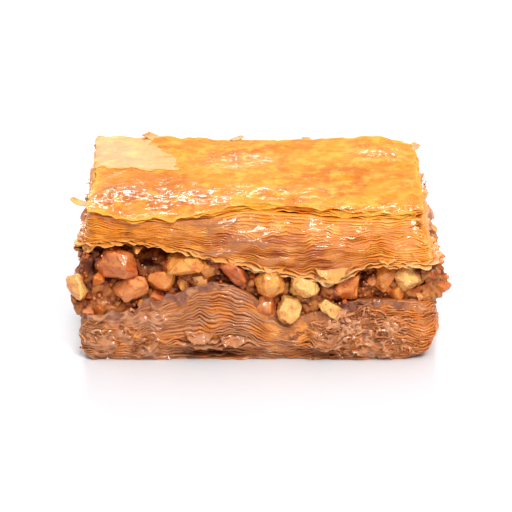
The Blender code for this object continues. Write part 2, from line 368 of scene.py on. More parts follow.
# ---------------------------------------------------------------------------------------------------------
# Noise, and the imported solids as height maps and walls


def grain(x, y, z, size, seed=0):
    """Smooth noise from about -1 to 1, with lumps of the given size. Each use has a seed of its own."""
    points = [np.asarray(v, float) / size + 31.7 + seed * 13.17 for v in (x, y, z)]
    points = np.broadcast_arrays(*points)
    cells = [np.floor(p).astype(np.int64) for p in points]
    parts = [p - c for p, c in zip(points, cells)]
    eased = [f * f * f * (f * (f * 6 - 15) + 10) for f in parts]
    total = 0.0
    for corner in range(8):
        step = (corner & 1, corner >> 1 & 1, corner >> 2 & 1)
        key = (cells[0] + step[0]) * 73856093
        key = key ^ (cells[1] + step[1]) * 19349663 ^ (cells[2] + step[2]) * 83492791
        key = (key ^ (key >> 13)) * 1274126177 & 0xFFFFFFFF
        key = (key ^ (key >> 15)) * 2246822519 & 0xFFFFFFFF
        key ^= key >> 16
        weight = 1.0
        for axis in range(3):
            weight = weight * (eased[axis] if step[axis] else 1 - eased[axis])
        slopes = [((key >> shift) & 255) / 127.5 - 1 for shift in (0, 8, 16)]
        total = total + weight * sum(s * (f - o) for s, f, o in zip(slopes, parts, step))
    return total * 1.7


def hill(x, y, cx, cy, reach):
    """A round bump of height 1."""
    return np.exp(-((x - cx) ** 2 + (y - cy) ** 2) / (2 * reach**2))


def mound(x, y, cx, cy, wide, deep):
    """An oval bump of height 1."""
    return np.exp(-(((x - cx) / wide) ** 2) - ((y - cy) / deep) ** 2)


def smooth_step(value, low, high):
    """From 0 at low to 1 at high, eased at both."""
    share = np.clip((value - low) / (high - low), 0, 1)
    return share * share * (3 - 2 * share)


def solid_tree(node):
    """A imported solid's faces, for rays."""
    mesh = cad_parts[node].data
    return BVHTree.FromPolygons([v.co for v in mesh.vertices], [p.vertices for p in mesh.polygons])


def face_map(tree, upper):
    """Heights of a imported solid's upper or lower face over the plan, filled outwards past its rim."""
    xs = np.arange(-PLAN_REACH[0], PLAN_REACH[0] + 0.1, PLAN_STEP)
    ys = np.arange(-PLAN_REACH[1], PLAN_REACH[1] + 0.1, PLAN_STEP)
    start, way = (0.1, -1) if upper else (-0.05, 1)
    found = np.full((len(xs), len(ys)), np.nan)
    for i, x in enumerate(xs):
        for j, y in enumerate(ys):
            hit, normal = tree.ray_cast(Vector((x * MM, y * MM, start)), Vector((0, 0, way)))[:2]
            if hit and normal.z * -way > 0.8:
                found[i, j] = hit.z / MM
    while np.isnan(found).any():
        around = np.pad(found, 1, constant_values=np.nan)
        rows, columns = found.shape
        near = np.stack([around[i : rows + i, j : columns + j] for i in range(3) for j in range(3)])
        known = ~np.isnan(near)
        mean = np.where(known, near, 0).sum(0) / np.maximum(known.sum(0), 1)
        found = np.where(np.isnan(found) & known.any(0), mean, found)
    for _ in range(MAP_SMOOTHING):
        wide = np.pad(found, 1, mode="edge")
        found = (wide[:-2, 1:-1] + wide[2:, 1:-1] + wide[1:-1, :-2] + wide[1:-1, 2:] + 2 * found) / 6
    return found


def read_map(heights, x, y):
    """The height over each point, between those of a measured face."""
    gx = np.clip((x + PLAN_REACH[0]) / PLAN_STEP, 0, heights.shape[0] - 1.001)
    gy = np.clip((y + PLAN_REACH[1]) / PLAN_STEP, 0, heights.shape[1] - 1.001)
    i, j = gx.astype(int), gy.astype(int)
    fx, fy = gx - i, gy - j
    low = heights[i, j] * (1 - fy) + heights[i, j + 1] * fy
    high = heights[i + 1, j] * (1 - fy) + heights[i + 1, j + 1] * fy
    return low * (1 - fx) + high * fx


TREES = {name: solid_tree(name) for name in ("lower_leaves", "nut_filling", "upper_leaves")}
LOWER_FOOT, LOWER_HEAD = (face_map(TREES["lower_leaves"], upper) for upper in (False, True))
UPPER_FOOT, UPPER_HEAD = (face_map(TREES["upper_leaves"], upper) for upper in (False, True))
LOW_CORNER, HIGH_CORNER = (np.array(corner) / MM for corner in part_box("lower_leaves"))
CENTRE = (LOW_CORNER + HIGH_CORNER)[:2] / 2
HALF = (HIGH_CORNER - LOW_CORNER)[:2] / 2 - RIM_MARGIN  # half sizes of the nominal rim


def rim_frame(x, y):
    """Distance in from the nominal rim, the outward direction there, and the turn round the rim."""
    px, py = x - CENTRE[0], y - CENTRE[1]
    qx, qy = np.abs(px) - HALF[0] + CORNER, np.abs(py) - HALF[1] + CORNER
    corner = (qx > 0) & (qy > 0)
    far = np.maximum(np.hypot(qx, qy), 1e-6)
    along_x = qx - CORNER > qy - CORNER
    nx = np.where(corner, qx / far, np.where(along_x, 1.0, 0.0)) * np.sign(px + 1e-9)
    ny = np.where(corner, qy / far, np.where(along_x, 0.0, 1.0)) * np.sign(py + 1e-9)
    inside = np.where(corner, CORNER - far, CORNER - np.maximum(qx, qy))
    turn = np.arctan2((py + ny * inside) / HALF[1], (px + nx * inside) / HALF[0])
    return inside, nx, ny, turn


def rim_frame_at(x, y):
    """The same at a single point."""
    return [values[0] for values in rim_frame(np.array([x]), np.array([y]))]


def wall_out(tree, x, y, nx, ny, z):
    """How far out of the nominal rim a packed wall stands at points of that rim, sorted by turn."""
    out = np.full(len(x), np.nan)
    for i in range(len(x)):
        start = Vector((x[i] + nx[i] * WALL_SEARCH, y[i] + ny[i] * WALL_SEARCH, z[i])) * MM
        hit = tree.ray_cast(start, Vector((-nx[i], -ny[i], 0)), (WALL_SEARCH + WALL_DEPTH) * MM)[0]
        if hit:
            out[i] = ((hit.x / MM - x[i]) * nx[i]) + ((hit.y / MM - y[i]) * ny[i])
    known = np.flatnonzero(~np.isnan(out))
    return np.interp(np.arange(len(out)), known, out[known]) if len(known) else np.zeros(len(out))


def evened(values, step, reach):
    """Values round the rim, evened out over that many millimetres to each side."""
    offsets = np.arange(-int(3 * reach / step), int(3 * reach / step) + 1)
    weights = np.exp(-0.5 * (offsets * step / reach) ** 2)
    return sum(w * np.roll(values, o) for w, o in zip(weights / weights.sum(), offsets))


# ---------------------------------------------------------------------------------------------------------
# Mesh work shared by the pieces


def pick(*objects):
    """Selects only these objects, the first of them active."""
    bpy.ops.object.select_all(action="DESELECT")
    for item in objects:
        item.select_set(True)
    bpy.context.view_layer.objects.active = objects[0]


def new_piece(name, add, **settings):
    """A new mesh object from one of Blender's own shapes, the only one selected."""
    bpy.ops.object.select_all(action="DESELECT")
    add(**settings)
    made = bpy.context.object
    made.name = name
    return made


def new_grid(name, size, cell, fewest=1):
    """A flat square from -1 to 1, with as many cells as a sheet of that size is to have."""
    columns, rows = (max(fewest, int(side / cell)) for side in size)
    add = bpy.ops.mesh.primitive_grid_add
    return new_piece(name, add, x_subdivisions=columns, y_subdivisions=rows, size=2)


def edit(item, action="SELECT"):
    """Opens a piece in edit mode with all or none of it selected."""
    pick(item)
    bpy.ops.object.mode_set(mode="EDIT")
    bpy.ops.mesh.select_all(action=action)


def leave_edit():
    """Closes edit mode."""
    bpy.ops.object.mode_set(mode="OBJECT")


def points_of(item):
    """The vertices in millimetres, as rows."""
    flat = np.empty(len(item.data.vertices) * 3)
    item.data.vertices.foreach_get("co", flat)
    return flat.reshape(-1, 3) / MM


def set_points(item, points):
    """Moves the vertices to these rows of millimetres."""
    item.data.vertices.foreach_set("co", (np.asarray(points) * MM).ravel())
    item.data.update()


def set_shares(item, **values):
    """Stores a number from 0 to 1 at each vertex under each name."""
    for name, value in values.items():
        layer = item.data.attributes.get(name) or item.data.attributes.new(name, "FLOAT", "POINT")
        full = np.broadcast_to(np.asarray(value, np.float32), (len(item.data.vertices),))
        layer.data.foreach_set("value", np.ascontiguousarray(full))


def normals_of(item):
    """The vertex normals, as rows."""
    flat = np.empty(len(item.data.vertices) * 3)
    item.data.vertex_normals.foreach_get("vector", flat)
    return flat.reshape(-1, 3)


def twin(item, name):
    """A copy with its own mesh."""
    made = item.copy()
    made.data = item.data.copy()
    made.name = name
    bpy.context.scene.collection.objects.link(made)
    return made


def joined(items, name):
    """Pieces joined into one."""
    pick(*items)
    if len(items) > 1:
        bpy.ops.object.join()
    made = bpy.context.object
    made.name = name
    made.data.name = name
    return made


def apply_modifier(item, kind, **settings):
    """Changes a piece's mesh by a modifier."""
    pick(item)
    made = item.modifiers.new(kind.lower(), kind)
    for key, value in settings.items():
        setattr(made, key, value)
    bpy.ops.object.modifier_apply(modifier=made.name)


def drop_piece(item):
    """Removes a blank that has been copied."""
    bpy.data.objects.remove(item)


def end_taper(y, z):
    """The share by which the ends draw in behind the front, most of all at the filling's height."""
    filling = np.exp(-(((z - FILLING_LEVEL) / FILLING_SPREAD) ** 2))
    return smooth_step(y, -15, 0) * (TOP_TAPER + FILLING_TAPER * filling)


def finish_piece(item, finish, slot, *nodes, angle=50):
    """Draws a piece in with the ends and gives it its material, shading and body, and hides the imported
    parts it stands for; the slot is not used.
    """
    x, y, z = points_of(item).T
    set_points(item, np.stack([CENTRE[0] + (x - CENTRE[0]) * (1 - end_taper(y, z)), y, z], 1))
    item.data.materials.clear()
    item.data.materials.append(finish)
    pick(item)
    bpy.ops.object.shade_smooth_by_angle(angle=math.radians(angle))
    if nodes:
        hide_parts(*nodes)
    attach(item, "root")
    return item


def merged_copy(node, name):
    """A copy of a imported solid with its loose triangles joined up."""
    made = twin(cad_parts[node], name)
    made.parent = None
    for key in list(made.keys()):
        del made[key]
    made.hide_render = False
    made.hide_viewport = False
    edit(made)
    bpy.ops.mesh.remove_doubles(threshold=1e-6)
    leave_edit()
    return made


# ---------------------------------------------------------------------------------------------------------
# Materials


def add_node(tree, kind, *values, **named):
    """Adds a node of a kind in NODES and gives its output; an input takes a value or a node's output."""
    blender_name, keys, output, fixed = NODES[kind]
    made = tree.nodes.new(blender_name)
    for key, value in [*fixed.items(), *zip(keys, values), *named.items()]:
        if isinstance(value, bpy.types.NodeSocket):
            tree.links.new(value, made.inputs[key])
        elif isinstance(key, str) and key.islower():
            setattr(made, key, value)
        else:
            socket = made.inputs[key]
            socket.default_value = (*value, 1) if socket.type == "RGBA" else value
    return made.outputs[output]


def per_metre(millimetres):
    """The scale at which a pattern's features are about that many millimetres across."""
    return 1 / (millimetres * MM)


def shader_input(made, key):
    """An input of a material's Principled shader, by its name in lower case with underscores."""
    shader = made.node_tree.nodes["Principled BSDF"]
    return shader.inputs[key.replace("_", " ").title().replace("Ior", "IOR")]


def new_material(name, **settings):
    """A material with a Principled shader of these settings, what adds a node to it, and its coordinates."""
    made = bpy.data.materials.new(name)
    made.use_nodes = True
    for key, value in settings.items():
        shader_input(made, key).default_value = value

    def add(kind, *values, **named):
        return add_node(made.node_tree, kind, *values, **named)

    return made, add, add("place")


def fed(made, **outputs):
    """A material with these outputs linked to its shader."""
    for key, output in outputs.items():
        made.node_tree.links.new(output, shader_input(made, key))
    return made


def layered(add, body, **layers):
    """A colour with others laid over it, each by the share stored at the vertices under its name."""
    for name, tint in layers.items():
        body = add("mix", add("stored", name), body, tint)
    return body


def soaked_filo_material(leaves):
    """Filo boiled soft in sugar syrup: translucent, tan at its rims, brown in its grooves from syrup and
    painted shade, wetly glossy.
    """
    made, add, place = new_material(
        "syrup-soaked filo",
        roughness=0.42,
        ior=1.42,
        coat_roughness=0.08,
        subsurface_weight=0.3,
        subsurface_scale=0.0004,
        subsurface_radius=(1.0, 0.45, 0.2),
    )
    mottle = add("share", add("noise", place, per_metre(2.6), Detail=4.0), 0.35, 0.68)
    body = add("mix", add("stored", "tone"), leaves.soaked_tan, leaves.soaked_pale)
    body = add("mix", mottle, body, leaves.soaked_pale)
    # The depth share lays the groove colour inward from the rim: part syrup, part painted shade in the
    # grooves.
    body = layered(add, body, warm=leaves.amber, depth=leaves.soaked_groove_and_shade)
    wet = add("share", add("noise", place, per_metre(1.8), Detail=3.0), 0.4, 0.62)
    crumb = add("noise", place, per_metre(0.45), Detail=6.0, Roughness=0.65)
    return fed(made, base_color=body, coat_weight=wet, normal=add("bump", crumb, 0.16 * MM))


def baked_filo_material(leaves):
    """Buttered filo baked crisp: golden, browner where syrup soaked in, its rims pale and a little glossy."""
    made, add, place = new_material(
        "baked buttered filo",
        roughness=0.42,
        ior=1.42,
        coat_roughness=0.1,
        subsurface_weight=0.3,
        subsurface_scale=0.0004,
        subsurface_radius=(1.0, 0.45, 0.15),
    )
    mottle = add("share", add("noise", place, per_metre(3.4), Detail=4.0), 0.4, 0.7)
    body = add("mix", add("stored", "tone"), leaves.baked_gold, leaves.baked_pale)
    body = add("mix", mottle, leaves.baked_gold, body)
    # The depth share lays the groove colour inward from the rim: part syrup, part painted shade in the
    # grooves.
    body = layered(add, body, soaked=leaves.baked_brown, dry=leaves.dry, depth=leaves.baked_groove_and_shade)
    wet = add("ramp", add("stored", "soaked"), 0, 1, 0.2, 0.5)
    crumb = add("noise", place, per_metre(0.4), Detail=5.0, Roughness=0.65)
    return fed(made, base_color=body, coat_weight=wet, normal=add("bump", crumb, 0.08 * MM))


def crust_material(crust):
    """Buttered top leaves, baked golden and glazed with syrup: mottled, finely wrinkled, wet in places."""
    made, add, place = new_material(
        "glazed filo crust",
        ior=1.4,
        specular_ior_level=0.1,
        coat_roughness=0.1,
        subsurface_weight=0.25,
        subsurface_scale=0.0004,
        subsurface_radius=(1.0, 0.5, 0.2),
    )
    wide = add("share", add("noise", place, per_metre(9.0), Detail=3.0, Distortion=1.2), 0.38, 0.66)
    small = add("share", add("noise", place, per_metre(2.2), Detail=6.0, Roughness=0.7), 0.42, 0.7)
    body = add("mix", wide, crust.gold, crust.toasted)
    body = add("mix", small, body, crust.pale)
    # crease: toasting and painted shade in the furrows; under: bright orange painted on each leaf's underside
    # to stand in for a warm glow in its shade.
    body = layered(add, body, crease=crust.toasted, tone=crust.pale, under=crust.under)
    specks = add("share", add("cells", place, per_metre(3.0)), 0.05, 0.0)
    body = add("mix", specks, body, crust.speck)
    wet = add("stored", "wet")
    rough = add("ramp", wet, 0, 1, 0.6, 0.12)
    along = add("stretched", place, (0.5, 1, 1))
    wrinkles = add("noise", along, per_metre(0.42), Detail=5.0, Roughness=0.65, Distortion=1.2)
    pores = add("cells", place, per_metre(0.5))
    normal = add("bump", pores, 0.05 * MM, add("bump", wrinkles, 0.16 * MM))
    return fed(made, base_color=body, roughness=rough, coat_weight=wet, normal=normal)


def dry_filo_material(crust):
    """A loose leaf that no syrup reached: pale, papery and matt."""
    made, add, place = new_material("dry filo", roughness=0.55, subsurface_weight=0.4, subsurface_scale=0.001)
    mottle = add("share", add("noise", place, per_metre(3.0), Detail=5.0), 0.42, 0.66)
    body = layered(add, add("mix", mottle, crust.dry, crust.pale), stuck=crust.gold)
    wrinkles = add("noise", place, per_metre(0.8), Detail=4.0)
    return fed(made, base_color=body, normal=add("bump", wrinkles, 0.1 * MM))


def syrup_material(leaves):
    """Clear amber syrup, very glossy, and brown dough where a knife smeared the soaked leaves; made once."""
    name = "syrup and soaked dough"
    if name in bpy.data.materials:
        return bpy.data.materials[name]
    made, add, place = new_material(
        name,
        roughness=0.26,
        ior=1.48,
        coat_weight=0.8,
        coat_roughness=0.06,
        subsurface_weight=0.2,
        subsurface_scale=0.0003,
        subsurface_radius=(1.0, 0.45, 0.2),
    )
    clouds = add("share", add("noise", place, per_metre(2.5), Detail=3.0), 0.35, 0.7)
    syrup = add("mix", clouds, leaves.syrup, leaves.baked_gold)
    along = add("stretched", place, (0.3, 0.3, 1))
    streaky = {"Detail": 3.0, "Roughness": 0.55, "Distortion": 0.8}
    specks = add("share", add("noise", along, per_metre(1.3), **streaky), 0.4, 0.6)
    dough = add("mix", specks, leaves.dough_dark, leaves.dough)
    body = add("mix", add("stored", "dough"), syrup, dough)
    body = add("mix", add("product", add("stored", "warm"), 0.7), body, leaves.amber)
    # The hollow share lays painted shade and darker paste over the body; the pale share lays the shreds'
    # colour and painted highlights on fold tops.
    body = layered(add, body, hollow=leaves.hollow, pale=leaves.froth_and_highlight)
    ripples = add("noise", along, per_metre(0.9), **streaky)
    grit = add("noise", place, per_metre(0.35), Detail=3.0, Roughness=0.6, Distortion=1.0)
    normal = add("bump", grit, 0.18 * MM, add("bump", ripples, 0.12 * MM))
    return fed(made, base_color=body, normal=normal)


def paste_material(nuts):
    """Ground nuts and cinnamon in syrup: dark, coarse and wet."""
    made, add, place = new_material(
        "ground nut paste",
        roughness=0.5,
        ior=1.44,
        specular_ior_level=0.2,
        coat_weight=0.2,
        coat_roughness=0.1,
    )
    lumps = add("share", add("noise", place, per_metre(1.1), Detail=5.0, Roughness=0.7), 0.42, 0.66)
    body = add("mix", lumps, nuts.paste, nuts.paste_light)
    # Painted highlight on the raised lumps; painted shade in the gaps, under the torn foot and in the lows.
    body = layered(add, body, light=nuts.paste_light, pit=nuts.cavity)
    meal = add("noise", place, per_metre(0.4), Detail=5.0, Roughness=0.7)
    return fed(made, base_color=body, normal=add("bump", meal, 0.2 * MM))


def kernel_material(name, body, skin):
    """Roasted nut kernel: a waxy break with streaks, brown skin where it is left on, wet with syrup."""
    made, add, place = new_material(
        name,
        roughness=0.34,
        ior=1.46,
        coat_roughness=0.08,
        subsurface_weight=0.3,
        subsurface_scale=0.0005,
        subsurface_radius=(1.0, 0.6, 0.3),
    )
    wet = add("share", add("noise", place, per_metre(0.55), Detail=4.0, Roughness=0.7), 0.44, 0.6)
    streaks = add("noise", place, per_metre(1.2), Detail=6.0, Roughness=0.75, Distortion=1.5)
    streaks = add("share", streaks, 0.42, 0.6)
    cooked = add("share", add("noise", place, per_metre(1.1), Detail=5.0, Roughness=0.75), 0.5, 0.64)
    cream = [min(1, c * f + 0.015) for c, f in zip(body, (1.12, 1.26, 1.35))]
    caramel = [c * f for c, f in zip(body, (0.72, 0.36, 0.16))]
    tone = add("mix", cooked, add("mix", streaks, body, cream), caramel)
    # The toasted share holds real toasting and painted shade on faces turned down or sideways.
    tone = layered(add, tone, fresh=cream, toasted=caramel, skin=skin)
    pits = add("noise", place, per_metre(0.55), Detail=5.0, Roughness=0.7)
    return fed(made, base_color=tone, coat_weight=wet, normal=add("bump", pits, 0.26 * MM))


# ---------------------------------------------------------------------------------------------------------
# Filo leaves


def roll(x, y):
    """How far the crust has rolled down over the front edge, right of the middle."""
    from_front = y - CENTRE[1] + HALF[1]
    return ROLL_DROP * smooth_step(x, -10, 1) * np.clip(1 - from_front / ROLL_WIDTH, 0, 1.3) ** 2


def crown(x, y):
    """Height of the crust's underside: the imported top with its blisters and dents."""
    height = read_map(UPPER_HEAD, x, y) + CRUST_RISE - roll(x, y) + 0.35 * grain(x, y, 5, 6, 42)
    for cx, cy, wide, deep, rise in BLISTERS:
        height = height + rise * mound(x, y, cx, cy, wide, deep)
    return CROWN_LIMIT - 0.3 * np.logaddexp(0, (CROWN_LIMIT - height) / 0.3)


def inset(x, y, nx, z):
    """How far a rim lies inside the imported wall: at both ends, and high up round the worn back corner."""
    high = smooth_step(z, 17, 21)
    worn = WORN_CORNER * np.exp(-((x - HIGH_CORNER[0]) ** 2 + (y - HIGH_CORNER[1]) ** 2) / 40) * high
    return END_INSET * nx**2 + LEAN * np.clip(nx, 0, 1) * high + worn


def stair(x, ny, below_top):
    """How far the topmost leaves draw back from the front, right of the middle."""
    height = np.clip(1 - below_top / STAIR_HEIGHT, 0, 1)
    return STAIR_DEPTH * smooth_step(x, -9, 0) * smooth_step(-ny, 0.3, 0.9) * height**1.3


def skirt(x, y):
    """Height of the upper leaves' torn foot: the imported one, lifted off the nuts in places."""
    lifted = sum(rise * hill(x, y, cx, cy, size) for cx, cy, size, rise in LIFTED_FOOT)
    return read_map(UPPER_FOOT, x, y) + lifted


def lower_head(x, y):
    """Height of the lower stack's top."""
    return read_map(LOWER_HEAD, x, y)


def lower_foot(x, y):
    """Height of the lower stack's underside."""
    return read_map(LOWER_FOOT, x, y)


def leaf_blank(name, step):
    """A two-sided leaf with an open middle, as strips of faces that follow the rim, outermost first."""
    centre = (CENTRE[0] * MM, CENTRE[1] * MM, 0)
    leaf = new_piece(name, bpy.ops.mesh.primitive_plane_add, size=2, location=centre)
    bpy.ops.object.transform_apply(location=True)
    edit(leaf)
    bpy.ops.transform.resize(value=(HALF[0] * MM, HALF[1] * MM, 1), center_override=centre)
    bpy.ops.mesh.bevel(offset=CORNER * MM, segments=12, affect="VERTICES")
    for axis in (0, 1):
        bpy.ops.mesh.select_all(action="DESELECT")
        leave_edit()
        straight = 0
        for edge in leaf.data.edges:
            first, second = (leaf.data.vertices[i].co for i in edge.vertices)
            edge.select = abs(first[axis] - second[axis]) > 4 * CORNER * MM
            straight = max(straight, abs(first[axis] - second[axis]) / MM if edge.select else 0)
        bpy.ops.object.mode_set(mode="EDIT")
        bpy.ops.mesh.select_mode(type="EDGE")
        bpy.ops.mesh.subdivide(number_cuts=int(straight / step))
    bpy.ops.mesh.select_mode(type="FACE")
    bpy.ops.mesh.select_all(action="SELECT")
    reach = HALF.copy()
    for width in LEAF_STRIPS:
        scale = ((reach[0] - width) / reach[0], (reach[1] - width) / reach[1], 1)
        bpy.ops.mesh.inset(thickness=0)
        bpy.ops.transform.resize(value=scale, center_override=centre)
        reach = reach - width
    bpy.ops.mesh.delete(type="FACE")
    leave_edit()
    apply_modifier(leaf, "SOLIDIFY", thickness=MM, offset=0)
    return leaf


def leaf_heights(x, y, foot, head, count, lenses, seed):
    """Each leaf's height over each point, pinched here and open there, in waves that its neighbours share."""
    gaps = []
    for k in range(count + 1):
        gap = 0.7 * grain(x, y, k * 3.1, 9, seed) + 0.45 * grain(x, y, k * 2.3, 3.4, seed + 1)
        gap = np.exp(gap + 0.4 * grain(x, y, k * 1.9, 1.5, seed + 2))
        for place, number, half, opening in lenses:
            if number == k:
                behind_front = (y - CENTRE[1] + HALF[1]) / 4
                gap = gap + opening * np.exp(-(((x - place) / half) ** 2) - behind_front**2)
        gaps.append(gap * (0.35 if k in (0, count) else 1))
    total = np.cumsum(gaps, axis=0)
    share = total[:-1] / total[-1]
    bottom, top = foot(x, y), head(x, y)
    level = share * (top - bottom)
    ripple = 0.3 * grain(x, y, level / 1.3, 3.3, seed + 5) + 0.16 * grain(x, y, level / 0.9, 1.4, seed + 6)
    ripple = ripple + 0.07 * grain(x, y, level, 0.75, seed + 8)
    return bottom + level + ripple * np.minimum(1, 5 * share * (1 - share)), share


def near_places(x, y, places):
    """The strongest of several round places at each point, from 0 to 1."""
    found = np.zeros(np.broadcast(x, y).shape)
    for cx, cy, reach, *_ in places:
        found = np.maximum(found, hill(x, y, cx, cy, reach))
    return found


def torn(x, y, k, size, seed):
    """Nicks torn out of a leaf's rim, from 0 to 1."""
    return np.clip(grain(x, y, k * 9.1, size, seed) - 0.35, 0, 1) * 1.5


def lower_rim(x, y, z, k, share):
    """Extra reach, drop and thickness of a lower leaf's rim, and its stored shares."""
    crushed = near_places(x, y, CRUSHED) * smooth_step(share, 0.1, 0.3)
    smeared = near_places(x, y, SMEARED) * (0.6 + 0.6 * grain(x, y, z / 2, 4, 20))
    reach = 0.2 * grain(x / 2, y / 2, k * 5.3, 3, 21) + 0.14 * grain(x, y, k * 4.1, 1.2, 22)
    reach = reach - 0.3 * smooth_step(z, 1.2, 0.2) * (0.3 + grain(x, y, 0, 1.6, 12))
    reach = reach + 0.3 * grain(x, y, z, 3.5, 19) - 0.35 * torn(x, y, k, 1.7, 18)
    reach = reach + crushed * (0.55 * grain(x, y, z, 1.5, 23) + 0.35 * grain(x, y, z, 0.8, 24))
    reach = reach + smeared * 0.3 * grain(x, y, z, 1.8, 17)
    drop = 0.08 * grain(x, y, k * 3.3, 1.3, 25) + crushed * 0.4 * grain(x, y, z, 1.2, 26)
    for cx, cy, size, depth in FOOT_HOLLOWS:
        hollow = hill(x, y, cx, cy, size)
        flap = hollow * smooth_step(np.abs(z - 3.4), 1.0, 0.3)
        reach = reach - depth * hollow * smooth_step(z, 2.8, 2.0) * smooth_step(z, 0.2, 0.9)
        reach = reach + flap * (0.7 + 0.5 * grain(x, y, k, 1.5, 16))
        drop = drop - flap * (0.9 + 0.7 * grain(x, y, k, 1.1, 15))
    thick = 0.86 + 0.2 * grain(x, y, k * 7.1, 5, 27) + 0.3 * smeared + 0.2 * crushed
    tone = np.clip(0.45 + 0.6 * grain(x, y, k * 6.1, 4, 28) + 0.4 * grain(x, y, z * 2, 1.5, 14), 0, 1)
    patch = grain(x / 2, y / 2, z, 2.2, 11) + 0.3 * grain(x, y, k * 2.9, 1.2, 10)
    warm = smooth_step(x - CENTRE[0], 15, 27) * (0.8 + 0.6 * grain(x, y, k * 3.7, 4, 29))
    warm = warm + smooth_step(patch, 0.15, 0.6)
    return reach, drop, thick, {"tone": tone, "warm": np.clip(warm, 0, 1)}


def upper_rim(x, y, z, k, share):
    """Extra reach, drop and thickness of an upper leaf's rim, and its stored shares."""
    foot = smooth_step(share, 0.15, 0.03)
    reach = 0.14 * grain(x / 2, y / 2, k * 5.3, 3, 31) + 0.07 * grain(x, y, k * 4.1, 1.4, 32)
    reach = reach + 0.25 * grain(x, y, z, 3.5, 30) - 0.3 * torn(x, y, k, 1.6, 39)
    reach = reach - 0.5 * smooth_step(share, 0.75, 1.0) * smooth_step(x, -4, -10)
    reach = reach + foot * (0.7 + 0.9 * grain(x, y, k * 4.1, 1.7, 33) + 0.7 * grain(x, y, k * 4.1, 0.8, 34))
    drop = 0.06 * grain(x, y, k * 3.3, 1.1, 35) - foot * (0.2 + 0.6 * grain(x, y, k * 4.1, 1.2, 36))
    for cx, cy, size, depth in HANGING_LEAVES:
        drop = drop - foot * depth * hill(x, y, cx, cy, size)
    thick = (0.72 + 0.25 * grain(x, y, k * 7.1, 5, 36)) * (1 - 0.5 * foot)
    middle = hill(x, y, CENTRE[0] - 2, CENTRE[1] - 20, 7) + hill(x, y, CENTRE[0] - 8, CENTRE[1] + 20, 8)
    middle = middle + 0.8 * hill(x, y, CENTRE[0] + 11, CENTRE[1] - 20, 5)
    streaky = 0.7 + 0.6 * grain(x, y, z, 3, 37) + 0.5 * grain(x / 4, y / 4, z, 0.9, 49)
    soaked = np.clip(middle * streaky * smooth_step(share, 1.0, 0.6), 0, 1) * (1 - foot)
    crisp = 0.4 + 0.6 * smooth_step(x, -16, -5)
    tone = 0.4 + 0.5 * grain(x, y, k * 6.1, 4, 38) + 0.3 * grain(x, y, z * 2, 1.4, 9)
    tone = np.clip(tone + 0.5 * smooth_step(share, 0.7, 0.95) * smooth_step(x, -6, 4), 0, 1)
    dry = np.clip(crisp * foot * (0.75 + 0.9 * grain(x, y, k * 6.1, 2.0, 13)), 0, 1)
    return reach, drop, thick, {"tone": tone, "soaked": soaked, "dry": dry}


def leaf_stack(name, tree, foot, head, count, step, widest, lenses, rim_rule, seed):
    """All leaves of one stack, in two pieces: copies of a blank, laid from foot to head out to the walls."""
    blank = leaf_blank(name + "_blank", step)
    flat = points_of(blank)
    side = np.sign(flat[:, 2])
    x, y = flat[:, 0], flat[:, 1]
    inside, nx, ny, turn = rim_frame(x, y)
    outer = np.flatnonzero((inside < 0.05) & (side > 0))
    outer = outer[np.argsort(turn[outer])]
    heights, shares = leaf_heights(x, y, foot, head, count, lenses, seed)
    pitch = np.gradient(heights, axis=0)
    held = 1 - inside / inside.max()
    near_rim = np.exp(-inside / 0.9)
    rounding = np.interp(inside, (0, LEAF_STRIPS[0], LEAF_STRIPS[0] + LEAF_STRIPS[1]), (0.3, 0.78, 1))
    leaves = []
    for k in range(count):
        z = heights[k]
        level = np.minimum(z[outer], read_map(UPPER_HEAD, x[outer], y[outer]) - BELOW_CROWN)
        wall = wall_out(tree, x[outer], y[outer], nx[outer], ny[outer], level)
        out = np.interp(turn, turn[outer], evened(wall, step, WALL_EVENING), period=2 * math.pi)
        reach, drop, thick, shares_here = rim_rule(x, y, z, k, shares[k])
        bare = 0.0
        if head is crown:
            drawn = stair(x, ny, head(x, y) - z)
            reach = reach - drawn
            bare = np.clip(drawn, 0, 1)
        out = (out + reach - inset(x, y, nx, z)) * held
        half = np.clip(pitch[k] * thick, 0.1, widest) / 2
        moved_x, moved_y = x + nx * out, y + ny * out
        z = z + follow(foot, head, x, y, moved_x, moved_y, shares[k])
        z = np.maximum(z + drop * near_rim + side * half * rounding, 0.02)
        made = twin(blank, f"{name}_{k}")
        set_points(made, np.stack([moved_x, moved_y, z], 1))
        # Groove colour inward from the rim, part syrup and part painted shade between the leaves; weaker
        # where the stair bares a leaf's top.
        depth = np.clip(inside / (1 + 2 * bare), 0, 1) ** 0.8 * (1 - 0.5 * bare)
        set_shares(made, depth=depth, **shares_here)
        leaves.append(made)
    drop_piece(blank)
    middle = count // 2
    return joined(leaves[:middle], name + "_a"), joined(leaves[middle:], name + "_b")


def follow(foot, head, x, y, moved_x, moved_y, share):
    """How far a point that moved sideways rises, to stay as far up between foot and head as it was."""
    foot_rise = foot(moved_x, moved_y) - foot(x, y)
    return foot_rise + share * (head(moved_x, moved_y) - head(x, y) - foot_rise)


def rim_line(count):
    """Evenly spaced points along the nominal rim, counterclockwise."""
    side = np.linspace(-1, 1, 400, endpoint=False)
    whole = np.ones(400)
    u = np.concatenate([whole, -side, -whole, side])
    v = np.concatenate([side, whole, -side, -whole])
    x, y = rounded_plan(u, v, HALF, CORNER)
    along = np.concatenate([[0], np.cumsum(np.hypot(np.diff(x), np.diff(y)))])
    places = np.linspace(0, along[-1], count, endpoint=False)
    return np.interp(places, along, x) + CENTRE[0], np.interp(places, along, y) + CENTRE[1]


